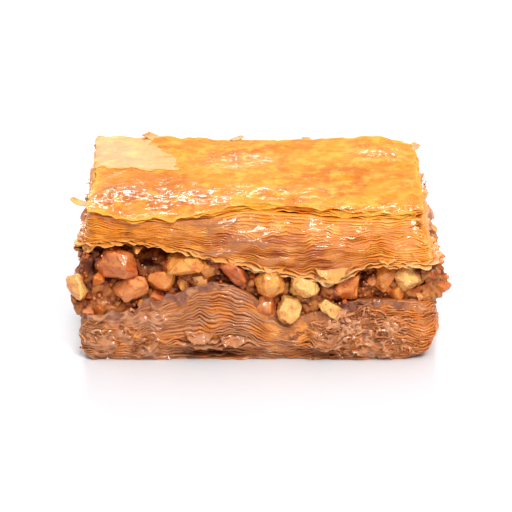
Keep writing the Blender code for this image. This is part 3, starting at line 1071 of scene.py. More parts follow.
def body_blank(name, rows):
    """A closed tube of equal columns and rows of faces, with each vertex's column and row."""
    body = new_piece(
        name, bpy.ops.mesh.primitive_cylinder_add, vertices=BODY_COLUMNS, radius=MM, depth=2 * MM
    )
    flat = points_of(body)
    edit(body, "DESELECT")
    bpy.ops.mesh.select_mode(type="EDGE")
    leave_edit()
    for edge in body.data.edges:
        edge.select = abs(flat[edge.vertices[0], 2] - flat[edge.vertices[1], 2]) > 1
    bpy.ops.object.mode_set(mode="EDIT")
    bpy.ops.mesh.subdivide(number_cuts=rows)
    leave_edit()
    flat = points_of(body)
    round_share = np.arctan2(flat[:, 1], flat[:, 0]) / (2 * math.pi)
    column = np.round(round_share * BODY_COLUMNS).astype(int) % BODY_COLUMNS
    row = np.round((flat[:, 2] + 1) / 2 * (rows + 1)).astype(int)
    return body, column, row


def stack_body(name, tree, foot, head, rows, rule):
    """The soaked inside of a stack: a tube just behind the leaves' rims, smeared out over them in places."""
    body, column, row = body_blank(name, rows)
    share = row / (rows + 1)
    rim_x, rim_y = rim_line(BODY_COLUMNS)
    step = math.hypot(rim_x[1] - rim_x[0], rim_y[1] - rim_y[0])
    x, y = rim_x[column], rim_y[column]
    nx, ny = rim_frame(x, y)[1:3]
    bottom, top = foot(x, y), head(x, y)
    z = bottom + share * (top - bottom)
    highest = np.minimum(top - 0.4, read_map(UPPER_HEAD, x, y) - BELOW_CROWN)
    level = np.clip(z, bottom + 0.4, highest)
    out = np.empty(len(x))
    for r in range(rows + 2):
        ring = np.flatnonzero(row == r)
        ring = ring[np.argsort(column[ring])]
        wall = wall_out(tree, x[ring], y[ring], nx[ring], ny[ring], level[ring])
        out[ring] = evened(wall, step, WALL_EVENING)
    offset, shares = rule(x, y, z, share)
    lowest, uppermost = row == 0, row == rows + 1
    cap = lowest | uppermost
    out = out + offset - inset(x, y, nx, z) - np.where(cap, CAP_INSET, 0)
    if head is crown:
        out = out - stair(x, ny, top - z)
    moved_x, moved_y = x + nx * out, y + ny * out
    z = z + follow(foot, head, x, y, moved_x, moved_y, share)
    z = z - np.where(uppermost, CAP_SINK, 0) + np.where(lowest & (head is crown), CAP_SINK, 0)
    z = z + shares.pop("rise") * ~cap
    set_points(body, np.stack([moved_x, moved_y, np.maximum(z, 0.03)], 1))
    set_shares(body, **shares)
    return body


def ridges(x, y, z, size, seed):
    """Thin rounded ridges that wander between hollows of the given size, from -1 up to 1."""
    return 1 - 2.6 * np.abs(grain(x, y, z, size, seed))


def lower_smear(x, y, z, share):
    """Where dough and syrup lie over the lower leaves' rims: how far out, and the stored shares."""
    smeared, crushed = near_places(x, y, SMEARED), near_places(x, y, CRUSHED)
    patch = 0.85 * smeared + 0.85 * crushed + 0.4 * grain(x, y, z, 5, 100)
    patch = patch + 0.5 * grain(x / 1.7, y / 1.7, z, 1.5, 101)
    cover = smooth_step(patch, 0.45, 1.0)
    near_nuts = share + 0.1 * grain(x, y, 0, 2.6, 109) + 0.07 * grain(x, y, z, 0.9, 108)
    paste = smooth_step(near_nuts, 0.82, 0.95) * np.clip(0.45 + 0.9 * near_places(x, y, PASTED), 0, 1)
    bent = z + 0.7 * grain(x, y, z, 3.2, 105) + 0.25 * grain(x, y, z, 1.1, 110)
    folds = 0.7 * ridges(x / 3.2, y / 3.2, bent, 0.75, 104) + 0.5 * ridges(x / 1.6, y / 1.6, bent, 0.9, 107)
    curls = 0.7 * ridges(x, y, z, 1.2, 102) + 0.6 * ridges(x, y, z, 0.75, 103)
    lumps = grain(x, y, z, 1.3, 106) + 0.5 * grain(x, y, z, 0.6, 111)
    relief = crushed * 0.38 * curls + (1 - crushed) * 0.32 * folds
    # Painted shade: the hollows under the torn flaps take the near-black hollow colour.
    hollow = near_places(x, y, FOOT_HOLLOWS) * smooth_step(z, 3.6, 2.4) * smooth_step(z, 0.1, 0.9)
    offset = -0.36 + 0.36 * cover + relief * (0.35 + 0.65 * cover) + paste * (0.45 + 0.3 * lumps)
    offset = offset - 2.0 * hollow
    low = smooth_step(-relief, -0.06, 0.2)
    warm = smooth_step(x - CENTRE[0], 15, 29) * (0.7 + 0.4 * lumps) + 0.5 * low * cover
    rise = (smeared + paste) * smooth_step(share, 0.7, 1) * (0.5 + 0.7 * grain(x, y, 0, 1.8, 112))
    # Hollow share: painted shade in the foot's hollows and the low parts of the folds, the darker dragged
    # paste, and painted shade along the bottom edge.
    dark = hollow + (0.3 + 0.25 * crushed) * low * cover + 0.55 * paste * (0.8 - 0.5 * lumps)
    dark = dark + 0.5 * smooth_step(z, 1.2, 0.4)
    # Pale share: painted highlight on the tops of the folds and on the raised lumps of dragged paste.
    pale = smooth_step(relief, 0.06, 0.26) * cover * (0.7 + 0.5 * crushed)
    pale = pale + 0.6 * smooth_step(lumps, 0.3, 0.8) * paste
    return offset, {
        "dough": np.maximum(cover * (1 - 0.4 * low), paste),
        "warm": np.clip(warm * (1 - paste), 0, 1),
        "hollow": np.clip(dark, 0, 1),
        "pale": np.clip(pale, 0, 1),
        "rise": rise,
    }


def upper_smear(x, y, z, share):
    """The same for the upper leaves, where syrup soaked them through near the middle."""
    middle = hill(x, y, CENTRE[0] - 4, CENTRE[1] - 20, 8) + hill(x, y, CENTRE[0] - 8, CENTRE[1] + 20, 8)
    patch = 0.6 * middle + 0.45 * grain(x / 2.5, y / 2.5, z, 2, 113) + 0.3 * grain(x / 2, y / 2, z, 1.3, 114)
    cover = smooth_step(patch, 0.45, 0.8) * smooth_step(share, 1.0, 0.85)
    bent = z + 0.6 * grain(x, y, z, 5, 115)
    folds = 0.8 * ridges(x / 5, y / 5, bent, 0.8, 116) + 0.4 * grain(x / 3, y / 3, z, 0.8, 117)
    offset = -0.34 + 0.24 * cover + 0.18 * folds
    hollow = (0.25 + 0.2 * cover) * np.clip(middle, 0, 1)
    return offset, {
        "dough": 0.3 * cover * middle,
        "warm": 1 - hollow,
        "hollow": hollow,
        # Painted highlight on the tops of the folds.
        "pale": 0.3 * cover * smooth_step(folds, 0.5, 1.1),
        "rise": 0.0,
    }


def torn_flap(name, tree, place, width, drop, lift, seed):
    """A torn end of leaf that hangs out of a cut side, ragged below and curled away from it."""
    flap = new_grid(name, (width, drop), FLAP_CELL, 5)
    apply_modifier(flap, "SOLIDIFY", thickness=MM, offset=0)
    flat = points_of(flap)
    side = np.sign(flat[:, 2])
    down = (1 - flat[:, 1] * MM) / 2
    across = flat[:, 0] * MM * width / 2 * (1 - 0.25 * down)
    inside, nx, ny, _ = rim_frame_at(place[0], place[1])
    x, y = place[0] + nx * inside - ny * across, place[1] + ny * inside + nx * across
    ragged = 0.75 + 0.3 * grain(across, 0, 0, 1.5, seed) + 0.25 * grain(across, 0, 0, 0.55, seed + 1)
    tongue = np.clip(1 - np.abs(flat[:, 0] * MM), 0, 1) ** 0.35
    z = place[2] - down * drop * ragged * tongue + 0.3 * grain(across, 0, 0, 2, seed + 2)
    lengthwise = np.unique(np.round(across[down < 0.01], 4))
    ends = place[0] + nx * inside - ny * lengthwise, place[1] + ny * inside + nx * lengthwise
    facing = np.full(len(lengthwise), nx), np.full(len(lengthwise), ny)
    wall = wall_out(tree, *ends, *facing, np.full(len(lengthwise), place[2]))
    out = np.interp(across, lengthwise, wall) - inset(x, y, nx, z) - 0.8 + (0.8 + lift) * down**0.6
    out = out + 0.2 * down * grain(across, z, 0, 0.9, seed + 3) + side * 0.07
    set_points(flap, np.stack([x + nx * out, y + ny * out, np.maximum(z, 0.05)], 1))
    tone = np.clip(0.6 + 0.7 * grain(across, z, 0, 1.2, seed + 4), 0, 1)
    # The depth share gives the flap the groove colour towards its root at the wall: part syrup, part painted
    # shade.
    set_shares(flap, tone=tone, warm=smooth_step(-tone, -0.5, -0.1), dry=0.5 * tone, depth=0.4 * (1 - down))
    return flap


def hang_flaps(name, tree, flaps, seed):
    """All torn ends of one stack, in one piece."""
    made = [
        torn_flap(f"{name}_{i}", tree, flap[:3], *flap[3:], seed + 5 * i) for i, flap in enumerate(flaps)
    ]
    return joined(made, name)


class BAKLAVA_OT_lower_leaves(bpy.types.Operator):
    """Lay the soaked lower leaves"""

    bl_idname = "baklava.lower_leaves"
    bl_label = "Lower leaves"

    def execute(self, context):
        leaves = context.scene.baklava_leaves
        tree = TREES["lower_leaves"]
        step, widest = leaves.rim_step / MM, leaves.lower_thickness / MM
        finish = soaked_filo_material(leaves)
        count = leaves.lower_count
        stack = leaf_stack(
            "lower_stack", tree, lower_foot, lower_head, count, step, widest, LOWER_LENSES, lower_rim, 3
        )
        for part in stack:
            finish_piece(part, finish, "soaked_filo", "lower_leaves")
        body = stack_body("lower_body", tree, lower_foot, lower_head, LOWER_ROWS, lower_smear)
        finish_piece(body, syrup_material(leaves), "soaked_filo")
        finish_piece(hang_flaps("lower_flaps", tree, LOWER_FLAPS, 200), finish, "soaked_filo")
        return {"FINISHED"}


def shred(blank, name, place, reach, chance):
    """A curled shred of soaked leaf: a loop on edge, part sunk in the lower stack's wall near a place."""
    facing_x, facing_y = rim_frame_at(place[0], place[1])[1:3]
    sideways = chance.gauss(0, 0.8 * reach)
    x, y = np.array([place[0] - facing_y * sideways]), np.array([place[1] + facing_x * sideways])
    inside, nx, ny, _ = rim_frame(x, y)
    x, y = x + nx * inside, y + ny * inside
    z = np.array([chance.uniform(lower_foot(x, y)[0] + 1.2, lower_head(x, y)[0] - 0.4)])
    out = wall_out(TREES["lower_leaves"], x, y, nx, ny, z)
    u, v, w = points_of(blank).T
    size = chance.uniform(0.45, 1.0)
    bulge = 1 + 0.8 * grain(u, v, 0, 1.0, chance.randrange(900))
    along, up = u * bulge * size * chance.uniform(0.8, 1.5), v * bulge * size * chance.uniform(0.35, 0.8)
    proud = w * 1.2 + chance.uniform(-0.6, 0.3) * u * size + chance.uniform(-0.05, 0.28)
    turn = chance.gauss(0, 0.6)
    across = along * math.cos(turn) - up * math.sin(turn)
    rise = along * math.sin(turn) + up * math.cos(turn)
    proud = proud + out - inset(x, y, nx, z)
    x, y, z = x - ny * across + nx * proud, y + nx * across + ny * proud, np.maximum(z + rise, 0.1)
    made = twin(blank, name)
    set_points(made, np.stack([x, y, z], 1))
    set_shares(made, dough=1.0, warm=chance.uniform(0, 0.8), hollow=0.0, pale=chance.uniform(0.35, 1.0))
    return made


class BAKLAVA_OT_shreds(bpy.types.Operator):
    """Lay curled shreds of soaked leaf where the cut crushed or smeared the lower leaves"""

    bl_idname = "baklava.shreds"
    bl_label = "Curled shreds"

    def execute(self, context):
        leaves = context.scene.baklava_leaves
        add = bpy.ops.mesh.primitive_torus_add
        blank = new_piece(
            "shred", add, major_segments=16, minor_segments=3, major_radius=MM, minor_radius=0.2 * MM
        )
        chance = random.Random(21)
        copies = []
        for place, count in zip(CRUSHED + SMEARED, (leaves.shred_count, *SHRED_COUNTS)):
            for _ in range(count):
                copies.append(shred(blank, f"shred_{len(copies)}", place, place[2], chance))
        drop_piece(blank)
        finish_piece(joined(copies, "curled_shreds"), syrup_material(leaves), "soaked_filo", angle=80)
        return {"FINISHED"}


class BAKLAVA_OT_upper_leaves(bpy.types.Operator):
    """Lay the crisp upper leaves"""

    bl_idname = "baklava.upper_leaves"
    bl_label = "Upper leaves"

    def execute(self, context):
        leaves = context.scene.baklava_leaves
        tree = TREES["upper_leaves"]
        step, widest = leaves.rim_step / MM, leaves.upper_thickness / MM
        finish = baked_filo_material(leaves)
        count = leaves.upper_count
        stack = leaf_stack(
            "upper_stack", tree, skirt, crown, count, step, widest, UPPER_LENSES, upper_rim, 7
        )
        for part in stack:
            finish_piece(part, finish, "baked_filo", "upper_leaves")
        body = stack_body("upper_body", tree, skirt, crown, UPPER_ROWS, upper_smear)
        finish_piece(body, syrup_material(leaves), "baked_filo")
        finish_piece(hang_flaps("upper_flaps", tree, UPPER_FLAPS, 300), finish, "baked_filo")
        return {"FINISHED"}


# ---------------------------------------------------------------------------------------------------------
# Crust and flakes


def rounded_plan(u, v, half, radius):
    """Takes a square grid to a rectangle with round corners."""
    x, y = u * half[0], v * half[1]
    qx, qy = np.abs(x) - half[0] + radius, np.abs(y) - half[1] + radius
    corner = (qx > 0) & (qy > 0)
    pull = np.where(corner, np.maximum(qx, qy) / np.maximum(np.hypot(qx, qy), 1e-6), 1.0)
    return (
        np.where(corner, np.sign(x) * (half[0] - radius + qx * pull), x),
        np.where(corner, np.sign(y) * (half[1] - radius + qy * pull), y),
    )


def glazed(x, y):
    """Where the syrup lies thick on the crust, from 0 to 1."""
    found = np.zeros(np.broadcast(x, y).shape)
    for cx, cy, wide, deep, strength in GLAZED_PATCHES:
        found = np.maximum(found, strength * mound(x, y, cx, cy, wide, deep))
    return np.clip(found * (0.9 + 1.1 * grain(x, y, 2, 1.8, 40)), 0, 1)


def crust_wrinkles(x, y):
    """Creases that run along the piece, and fine crumpling where syrup has soaked and dried."""
    bend = 1.6 * grain(x, y, 0, 6, 41)
    along = 1 - 1.7 * np.abs(grain(x / 2.6, y + bend, 9, 1.7, 43))
    fine = grain(x / 1.8, y + bend, 3, 0.9, 44)
    crumple = ridges(x, y, 7, 1.1, 47) + 0.5 * ridges(x, y, 7, 0.6, 49)
    swell = grain(x / 1.6, y + bend, 5, 3.6, 48)
    wet = glazed(x, y)
    right = smooth_step(x, 4, 16) * smooth_step(y, 2, -10)
    thick = wet * smooth_step(y, 0, -5)
    fold = 0.14 * along + (0.22 + 0.25 * thick) * swell
    return fold + (0.05 + 0.08 * right) * fine + (0.03 + 0.13 * wet + 0.07 * thick) * crumple


def keep_faces(item, test):
    """Deletes the faces of a flat sheet whose middle fails a test on its place."""
    middles = np.array([face.center for face in item.data.polygons]) / MM
    kept = test(middles[:, 0], middles[:, 1])
    edit(item, "DESELECT")
    leave_edit()
    item.data.polygons.foreach_set("select", ~kept)
    bpy.ops.object.mode_set(mode="EDIT")
    bpy.ops.mesh.delete(type="FACE")
    leave_edit()


def crust_wall(x, y, step):
    """The wall round a crust leaf with these points: each border point's turn, and how far out it stands."""
    inside, nx, ny, turn = rim_frame(x, y)
    border = np.flatnonzero(inside < 0.02)
    border = border[np.argsort(turn[border])]
    x, y, nx, ny = x[border], y[border], nx[border], ny[border]
    z = read_map(UPPER_HEAD, x, y) - BELOW_CRUST
    wall = wall_out(TREES["upper_leaves"], x, y, nx, ny, z) - inset(x, y, nx, z)
    return turn[border], evened(wall, step, WALL_EVENING)


def crust_toast_and_furrow_shade(x, y, wet):
    """Where the crust is toasted, under thick syrup left of the middle and at its left end, with painted
    shade in its furrows.
    """
    crease = smooth_step(wet, 0.15, 0.5) * np.clip(0.85 + 1.3 * grain(x, y, 4, 2.4, 39), 0, 1)
    left_end = hill(x, y, -20, -2, 6) * np.clip(0.7 + grain(x, y, 4, 3, 38), 0, 1)
    crease = crease * smooth_step(x, 1, -5) + 0.8 * left_end
    # Painted shade: the low parts of the wrinkles take the toasted colour.
    return np.maximum(crease, 0.7 * smooth_step(0.04 - crust_wrinkles(x, y), 0.0, 0.26))


def crust_sheet(name, step, lift, thickness, front_line, seed, keep=None):
    """One crust leaf. front_line gives how far its front edge reaches past the wall at each x."""
    sheet = new_grid(name, 2 * HALF, step)
    flat = points_of(sheet)
    x, y = rounded_plan(flat[:, 0] * MM, flat[:, 1] * MM, HALF, CORNER)
    x, y = x + CENTRE[0], y + CENTRE[1]
    set_points(sheet, np.stack([x, y, 0 * x], 1))
    wall_turn, wall = crust_wall(x, y, step)
    if keep:
        keep_faces(sheet, keep)
    apply_modifier(sheet, "SOLIDIFY", thickness=0.1 * MM, offset=0)
    flat = points_of(sheet)
    side = np.sign(flat[:, 2])
    x, y = flat[:, 0], flat[:, 1]
    inside, _, _, turn = rim_frame(x, y)
    out = np.interp(turn, wall_turn, wall, period=2 * math.pi)
    front = smooth_step(CENTRE[1] - y, HALF[1] - 5, HALF[1] - 2)
    ragged = 0.45 * grain(x, y, 0, 4, seed) + 0.25 * grain(x, y, 0, 1.5, seed + 1)
    ragged = ragged + 0.1 * grain(x, y, 0, 0.7, seed + 2)
    over = front * front_line(x) + ragged
    pull = np.clip(1 - inside / EDGE_PULL, 0, 1) ** 2
    way = [
        np.clip(1 - (half - np.abs(v - mid)) / EDGE_PULL, 0, 1) ** 6 + 1e-9
        for v, mid, half in zip((x, y), CENTRE, HALF)
    ]
    moved = (out + over) * pull / np.hypot(*way)
    x, y = (v + np.sign(v - mid) * w * moved for v, mid, w in zip((x, y), CENTRE, way))
    rippled = front * smooth_step(x, -5, 1)
    near_rim = np.exp(-inside / (0.8 + 0.7 * rippled))
    z = crown(x, y) + crust_wrinkles(x, y)
    z = np.minimum(z, CRUST_TOP) + CRUST_EASE * np.tanh(np.maximum(z - CRUST_TOP, 0) / CRUST_EASE) + lift
    ripple = 0.3 * grain(x, y, lift * 9, 2.6, seed + 3) + 0.65 * rippled * grain(x, y / 3, 0, 3.2, 75)
    z = z + near_rim * (0.1 + ripple - 0.5 * np.clip(over, 0, 2))
    z = z + side * thickness / 2 * (1 - 0.5 * np.exp(-inside / 0.2))
    set_points(sheet, np.stack([x, y, z], 1))
    pale = np.exp(-inside / 0.45) + 0.25 * grain(x, y, 1, 2, 46) * np.exp(-inside / 2)
    wet = glazed(x, y)
    # under marks each leaf's underside, which takes a bright orange as a painted glow in its shade.
    set_shares(sheet, tone=np.clip(pale, 0, 1), wet=wet, under=side < 0, crease=crust_toast_and_furrow_shade(x, y, wet))
    return sheet


def along_lip(share):
    """The front edge of a crust leaf: the top leaf's lip, drawn back to that share of it."""
    places, reach = zip(*CRUST_LIP)

    def line(x):
        lip = np.interp(x, places, reach)
        return np.where(lip > 0, lip - 0.8 * (1 - share), lip * (0.8 + 0.2 * share) - 0.1 * (1 - share))

    return line


def flake(name, centre, size, turn, curl, seed):
    """A loose scrap of leaf: ragged, lying along the crust and curled up at one side."""
    scrap = new_grid(name, size, FLAKE_CELL, 4)
    apply_modifier(scrap, "SOLIDIFY", thickness=MM, offset=0)
    flat = points_of(scrap)
    side = np.sign(flat[:, 2])
    u, v = flat[:, 0] * MM, flat[:, 1] * MM
    soft = 0.65 + 0.35 * np.maximum(np.abs(u), np.abs(v)) / np.maximum(np.hypot(u, v), 1e-6)
    edge = 1 + 0.22 * grain(u * 2, v * 2, 0, 1, seed) + 0.12 * grain(u * 5, v * 5, 0, 1, seed + 1)
    px, py = u * soft * edge * size[0] / 2, v * soft * edge * size[1] / 2
    lift = curl * np.clip(u * 0.5 + 0.5, 0, 1) ** 2 + 0.036 * size[0] * grain(px, py, 3, 2.0, seed + 2)
    cos, sin = math.cos(turn), math.sin(turn)
    x, y = centre[0] + px * cos - py * sin, centre[1] + px * sin + py * cos
    set_points(scrap, np.stack([x, y, centre[2] + lift + side * 0.06], 1))
    set_shares(scrap, stuck=0.0)
    return scrap


class BAKLAVA_OT_crust(bpy.types.Operator):
    """Lay the blistered crust leaves"""

    bl_idname = "baklava.crust"
    bl_label = "Crust"

    def execute(self, context):
        crust = context.scene.baklava_crust
        thickness = crust.thickness / MM
        finish = crust_material(crust)
        under = [
            crust_sheet(f"crust_{i}", UNDER_STEP, CRUST_LIFT * i, thickness, along_lip(share), 50 + 5 * i)
            for i, share in enumerate((0.1, 0.4, 0.7))
        ]
        finish_piece(joined(under, "crust_under_leaves"), finish, "baked_filo")
        top = crust_sheet("crust_top_leaf", TOP_STEP, 3 * CRUST_LIFT, thickness, along_lip(1.0), 70)
        finish_piece(top, finish, "baked_filo")
        return {"FINISHED"}


class BAKLAVA_OT_flakes(bpy.types.Operator):
    """Lay the loose dry leaf and the curled flakes"""

    bl_idname = "baklava.flakes"
    bl_label = "Loose leaf and flakes"

    def execute(self, context):
        crust = context.scene.baklava_crust
        thickness = crust.thickness / MM
        loose = crust_sheet(
            "loose_leaf", LOOSE_STEP, 4 * CRUST_LIFT, thickness, along_lip(1.0), 90, on_loose_leaf
        )
        x, y, z = points_of(loose).T
        right, front = LOOSE_LEAF
        patchy = 1.5 * grain(x, y, 0, 2.5, 93)
        stuck = np.maximum(
            smooth_step(x + 0.35 * (y - front) + patchy, right - 6, right - 1),
            0.8 * smooth_step(front + 4 - y + patchy, 0, 4),
        )
        set_points(loose, np.stack([x, y, z - 0.12 * stuck], 1))
        glued = stuck + 0.5 * smooth_step(grain(x, y, 0, 2.2, 94), 0.1, 0.6)
        set_shares(loose, stuck=np.clip(glued, 0, 1))
        scraps = [loose]
        for index, (x, y, wide, deep, turn, curl, above) in enumerate(FLAKES):
            height = float(crown(np.array([x]), np.array([y]))[0]) + above
            centre = (x, y, height)
            scraps.append(flake(f"flake_{index}", centre, (wide, deep), turn, curl, 80 + 3 * index))
        finish_piece(joined(scraps, "dry_flakes"), dry_filo_material(crust), "baked_filo")
        return {"FINISHED"}


def on_loose_leaf(x, y):
    """Where the loose dry leaf lies, at the back of the left end."""
    edge = 1.1 * grain(x, y, 0, 3, 91) + 0.5 * grain(x, y, 0, 1.1, 92)
    right, front = LOOSE_LEAF
    return (x + edge + 0.35 * (y - front) < right) & (y + edge > front)


# ---------------------------------------------------------------------------------------------------------
# Filling


def nut_lump(name, cuts, seed):
    """A broken nut of unit size: a block with flat breaks, its edges worn and its faces a little rough."""
    chance = random.Random(seed)
    lump = new_piece(name, bpy.ops.mesh.primitive_cube_add, size=MM)
    edit(lump)
    for _ in range(cuts):
        way = Vector(chance.gauss(0, 1) for _ in range(3)).normalized()
        cut = way * chance.uniform(0.34, 0.48) * MM
        bpy.ops.mesh.select_all(action="SELECT")
        bpy.ops.mesh.bisect(plane_co=cut, plane_no=way, use_fill=True, clear_outer=True)
    bpy.ops.mesh.select_all(action="SELECT")
    bpy.ops.mesh.remove_doubles(threshold=0.05 * MM)
    bpy.ops.mesh.dissolve_limited(angle_limit=0.1)
    bpy.ops.mesh.normals_make_consistent(inside=False)
    leave_edit()
    apply_modifier(lump, "BEVEL", width=0.05 * MM, segments=1, limit_method="NONE")
    edit(lump)
    bpy.ops.mesh.subdivide(number_cuts=1)
    leave_edit()
    points, normals = points_of(lump), normals_of(lump)
    x, y, z = points.T
    rough = 0.05 * grain(x, y, z, 0.4, seed) + 0.03 * grain(x, y, z, 0.17, seed + 1)
    set_points(lump, points + normals * rough[:, None])
    return lump


def turned(points, chance):
    """Points turned at random, each axis stretched a little."""
    axes = np.linalg.qr(np.array([[chance.gauss(0, 1) for _ in range(3)] for _ in range(3)]))[0]
    stretch = np.array([chance.uniform(0.75, 1.35) for _ in range(3)])
    return (points * stretch) @ (axes * np.sign(np.linalg.det(axes)))


def rim_places(count, seed):
    """Random places on the filling's wall: points, outward directions, and the wall's height there."""
    chance = random.Random(seed)
    tree = TREES["nut_filling"]
    found = []
    while len(found) < count:
        x, y = chance.uniform(-1, 1) * HALF[0], chance.uniform(-1, 1) * HALF[1]
        if chance.random() < HALF[0] / (HALF[0] + HALF[1]):
            y = math.copysign(HALF[1], y)
        else:
            x = math.copysign(HALF[0], x)
        inside, nx, ny, _ = rim_frame_at(x + CENTRE[0], y + CENTRE[1])
        px, py = np.array([x + CENTRE[0] + nx * inside]), np.array([y + CENTRE[1] + ny * inside])
        low, high = read_map(LOWER_HEAD, px, py)[0], read_map(UPPER_FOOT, px, py)[0]
        z = low + (high - low) * chance.uniform(0.04, 0.96)
        out = wall_out(tree, px, py, np.array([nx]), np.array([ny]), np.array([z]))[0]
        place = np.array([px[0] + nx * out, py[0] + ny * out, z])
        found.append((place, np.array([nx, ny, 0.0]), high - low))
    return found


def broken(nut, cuts, seed):
    """Breaks flat facets off a nut all round."""
    chance = random.Random(seed)
    points = points_of(nut)
    middle = (points.min(0) + points.max(0)) / 2
    edit(nut)
    for _ in range(cuts):
        way = np.array([chance.gauss(0, 1) for _ in range(3)])
        way = way / np.linalg.norm(way)
        reach = ((points - middle) @ way).max() * chance.uniform(0.72, 0.92)
        cut = (middle + way * reach) * MM
        bpy.ops.mesh.select_all(action="SELECT")
        bpy.ops.mesh.bisect(plane_co=cut, plane_no=way, use_fill=True, clear_outer=True)
    bpy.ops.mesh.select_all(action="SELECT")
    bpy.ops.mesh.remove_doubles(threshold=0.05 * MM)
    leave_edit()


def kernel_shares(item, toasted, skin, seed):
    """Stores how toasted and how fresh a nut's facets are, with painted shade as extra caramel on faces
    turned down or sideways, and where skin is left on it.
    """
    points, normals = points_of(item), normals_of(item)
    x, y, z = points.T
    patch = grain(x, y, z, 2.2, seed) + 0.6 * grain(x, y, z, 0.7, seed + 1)
    facet = grain(*normals.T, 0.7, seed + 3)
    # Painted shade: faces turned down or sideways get extra caramel through the toasted share.
    painted_underside_shade = np.clip(0.1 - normals[:, 2], 0, 1) + 0.5 * np.abs(normals[:, 0]) ** 2
    cooked = toasted + 0.6 * grain(x, y, z, 1.6, seed + 2) * (0.3 + toasted)
    set_shares(
        item,
        toasted=np.clip(cooked + 0.45 * facet + 0.55 * painted_underside_shade, 0, 1),
        skin=smooth_step(patch + skin * 2.2 - 1.3 - 0.3 * normals[:, 2], -0.1, 0.25),
        fresh=np.clip(-1.2 * facet, 0, 1),
    )


class BAKLAVA_OT_large_nuts(bpy.types.Operator):
    """Roughen the twelve large nuts in the cut side"""

    bl_idname = "baklava.large_nuts"
    bl_label = "Large nuts"

    def execute(self, context):
        nuts = context.scene.baklava_nuts
        finishes = kernel_finishes(nuts)
        for index, (node, (kind, toasted, skin)) in enumerate(LARGE_NUTS.items()):
            nut = merged_copy(node, node + "_kernel")
            broken(nut, NUT_BREAKS, index)
            edit(nut)
            bpy.ops.mesh.tris_convert_to_quads()
            bpy.ops.mesh.subdivide(number_cuts=NUT_CUTS)
            leave_edit()
            points, normals = points_of(nut), normals_of(nut)
            x, y, z = points.T
            folds = 0.5 - np.abs(grain(x, y, z, 2.0, index + 90))
            rough = 0.3 * folds + 0.16 * grain(x, y, z, 0.9, index) + 0.08 * grain(x, y, z, 0.45, index + 50)
            set_points(nut, points + normals * rough[:, None])
            kernel_shares(nut, toasted, skin, 60 + index)
            finish_piece(nut, finishes[kind], "nut_kernel", node, angle=35)
        return {"FINISHED"}


def in_cavity(spot, margin):
    """Whether a nut of that half size would fill one of the gaps."""
    return any(math.dist(spot, cavity[:3]) < 1.2 * cavity[3] + margin for cavity in CAVITIES)


def kernel_finishes(nuts):
    """The three kernel materials, made once."""
    made = {}
    for kind in ("walnut", "almond", "hazelnut"):
        name = f"roasted {kind} kernel"
        made[kind] = bpy.data.materials.get(name) or kernel_material(name, getattr(nuts, kind), nuts.skin)
    return made


def paste_core(nuts):
    """The filling's core of ground nuts: sunk in the gaps and under the torn foot, let down on its leaves,
    with painted shade in its pits and lows and painted highlight on its lumps.
    """
    core = merged_copy("nut_filling", "filling_paste")
    edit(core)
    bpy.ops.transform.shrink_fatten(value=-CORE_SINK * MM)
    leave_edit()
    apply_modifier(core, "REMESH", mode="VOXEL", voxel_size=CORE_VOXEL * MM)
    points, normals = points_of(core), normals_of(core)
    x, y, z = points.T
    lumps = 0.55 * grain(x, y, z, 2.4, 71) + 0.45 * grain(x, y, z, 1.1, 72) + 0.25 * grain(x, y, z, 0.6, 73)
    nx, ny = rim_frame(x, y)[1:3]
    under_skirt = smooth_step(read_map(UPPER_FOOT, x, y) - z, 2.4, 0.6)
    pit = np.clip(under_skirt * (0.7 + grain(x / 2, y / 2, 0, 2.6, 74)), 0, 1)
    for cx, cy, cz, size in CAVITIES:
        away = (x - cx) ** 2 + (y - cy) ** 2 + (z - cz) ** 2
        pit = np.maximum(pit, 1.8 * np.exp(-away / (2 * size**2)))
    sunk = 1.9 * pit * (np.abs(normals[:, 2]) < 0.8)
    points = points + normals * lumps[:, None] - np.stack([nx * sunk, ny * sunk, 0 * sunk], 1)
    points[:, 2] -= 0.7 * smooth_step(-normals[:, 2], 0.3, 0.8)
    set_points(core, points)
    # Painted shade: the gaps, the sunk paste under the torn foot and the low parts of the lumps take the
    # cavity colour; painted highlight: the raised lumps take the paler paste colour.
    dark = np.clip(pit + smooth_step(-lumps, 0.15, 0.65), 0, 1)
    set_shares(core, pit=dark, light=smooth_step(lumps, 0.0, 0.6))
    finish_piece(core, paste_material(nuts), "chopped_filling", "nut_filling", angle=60)


def chopped_nuts(nuts):
    """Small broken nuts of three kinds all round the filling's wall, clear of the large ones and the gaps."""
    finishes = kernel_finishes(nuts)
    lumps = [nut_lump(f"lump_{i}", LUMP_BREAKS, i) for i in range(LUMP_KINDS)]
    boxes = [np.array(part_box(node)) / MM for node in LARGE_NUTS]
    large = [((low + high) / 2, min(high - low) / 2) for low, high in boxes]
    chance = random.Random(5)
    taken = []
    for kind, seed in (("walnut", 1), ("almond", 2), ("hazelnut", 3)):
        copies = []
        for place, out, room in rim_places(nuts.chopped_count * 3, seed):
            size = min(nuts.chopped_size / MM * chance.uniform(0.5, 1.7), room * 0.7)
            spot = place - out * (size * 0.25 + 0.3 * abs(out[0]))
            if any(math.dist(spot, centre) < reach + size * 0.45 for centre, reach in large):
                continue
            if in_cavity(spot, 0.3 * size):
                continue
            if any(math.dist(spot, other) < (size + other_size) * 0.31 for other, other_size in taken):
                continue
            taken.append((spot, size))
            piece = twin(chance.choice(lumps), f"{kind}_{len(copies)}")
            set_points(piece, turned(points_of(piece), chance) * size + spot)
            kernel_shares(piece, chance.uniform(0, 0.7), chance.choice((0, 0, 0.2, 0.5)), len(taken))
            copies.append(piece)
            if len(copies) >= nuts.chopped_count:
                break
        finish_piece(joined(copies, f"chopped_{kind}"), finishes[kind], "nut_kernel", angle=30)
    for lump in lumps:
        drop_piece(lump)


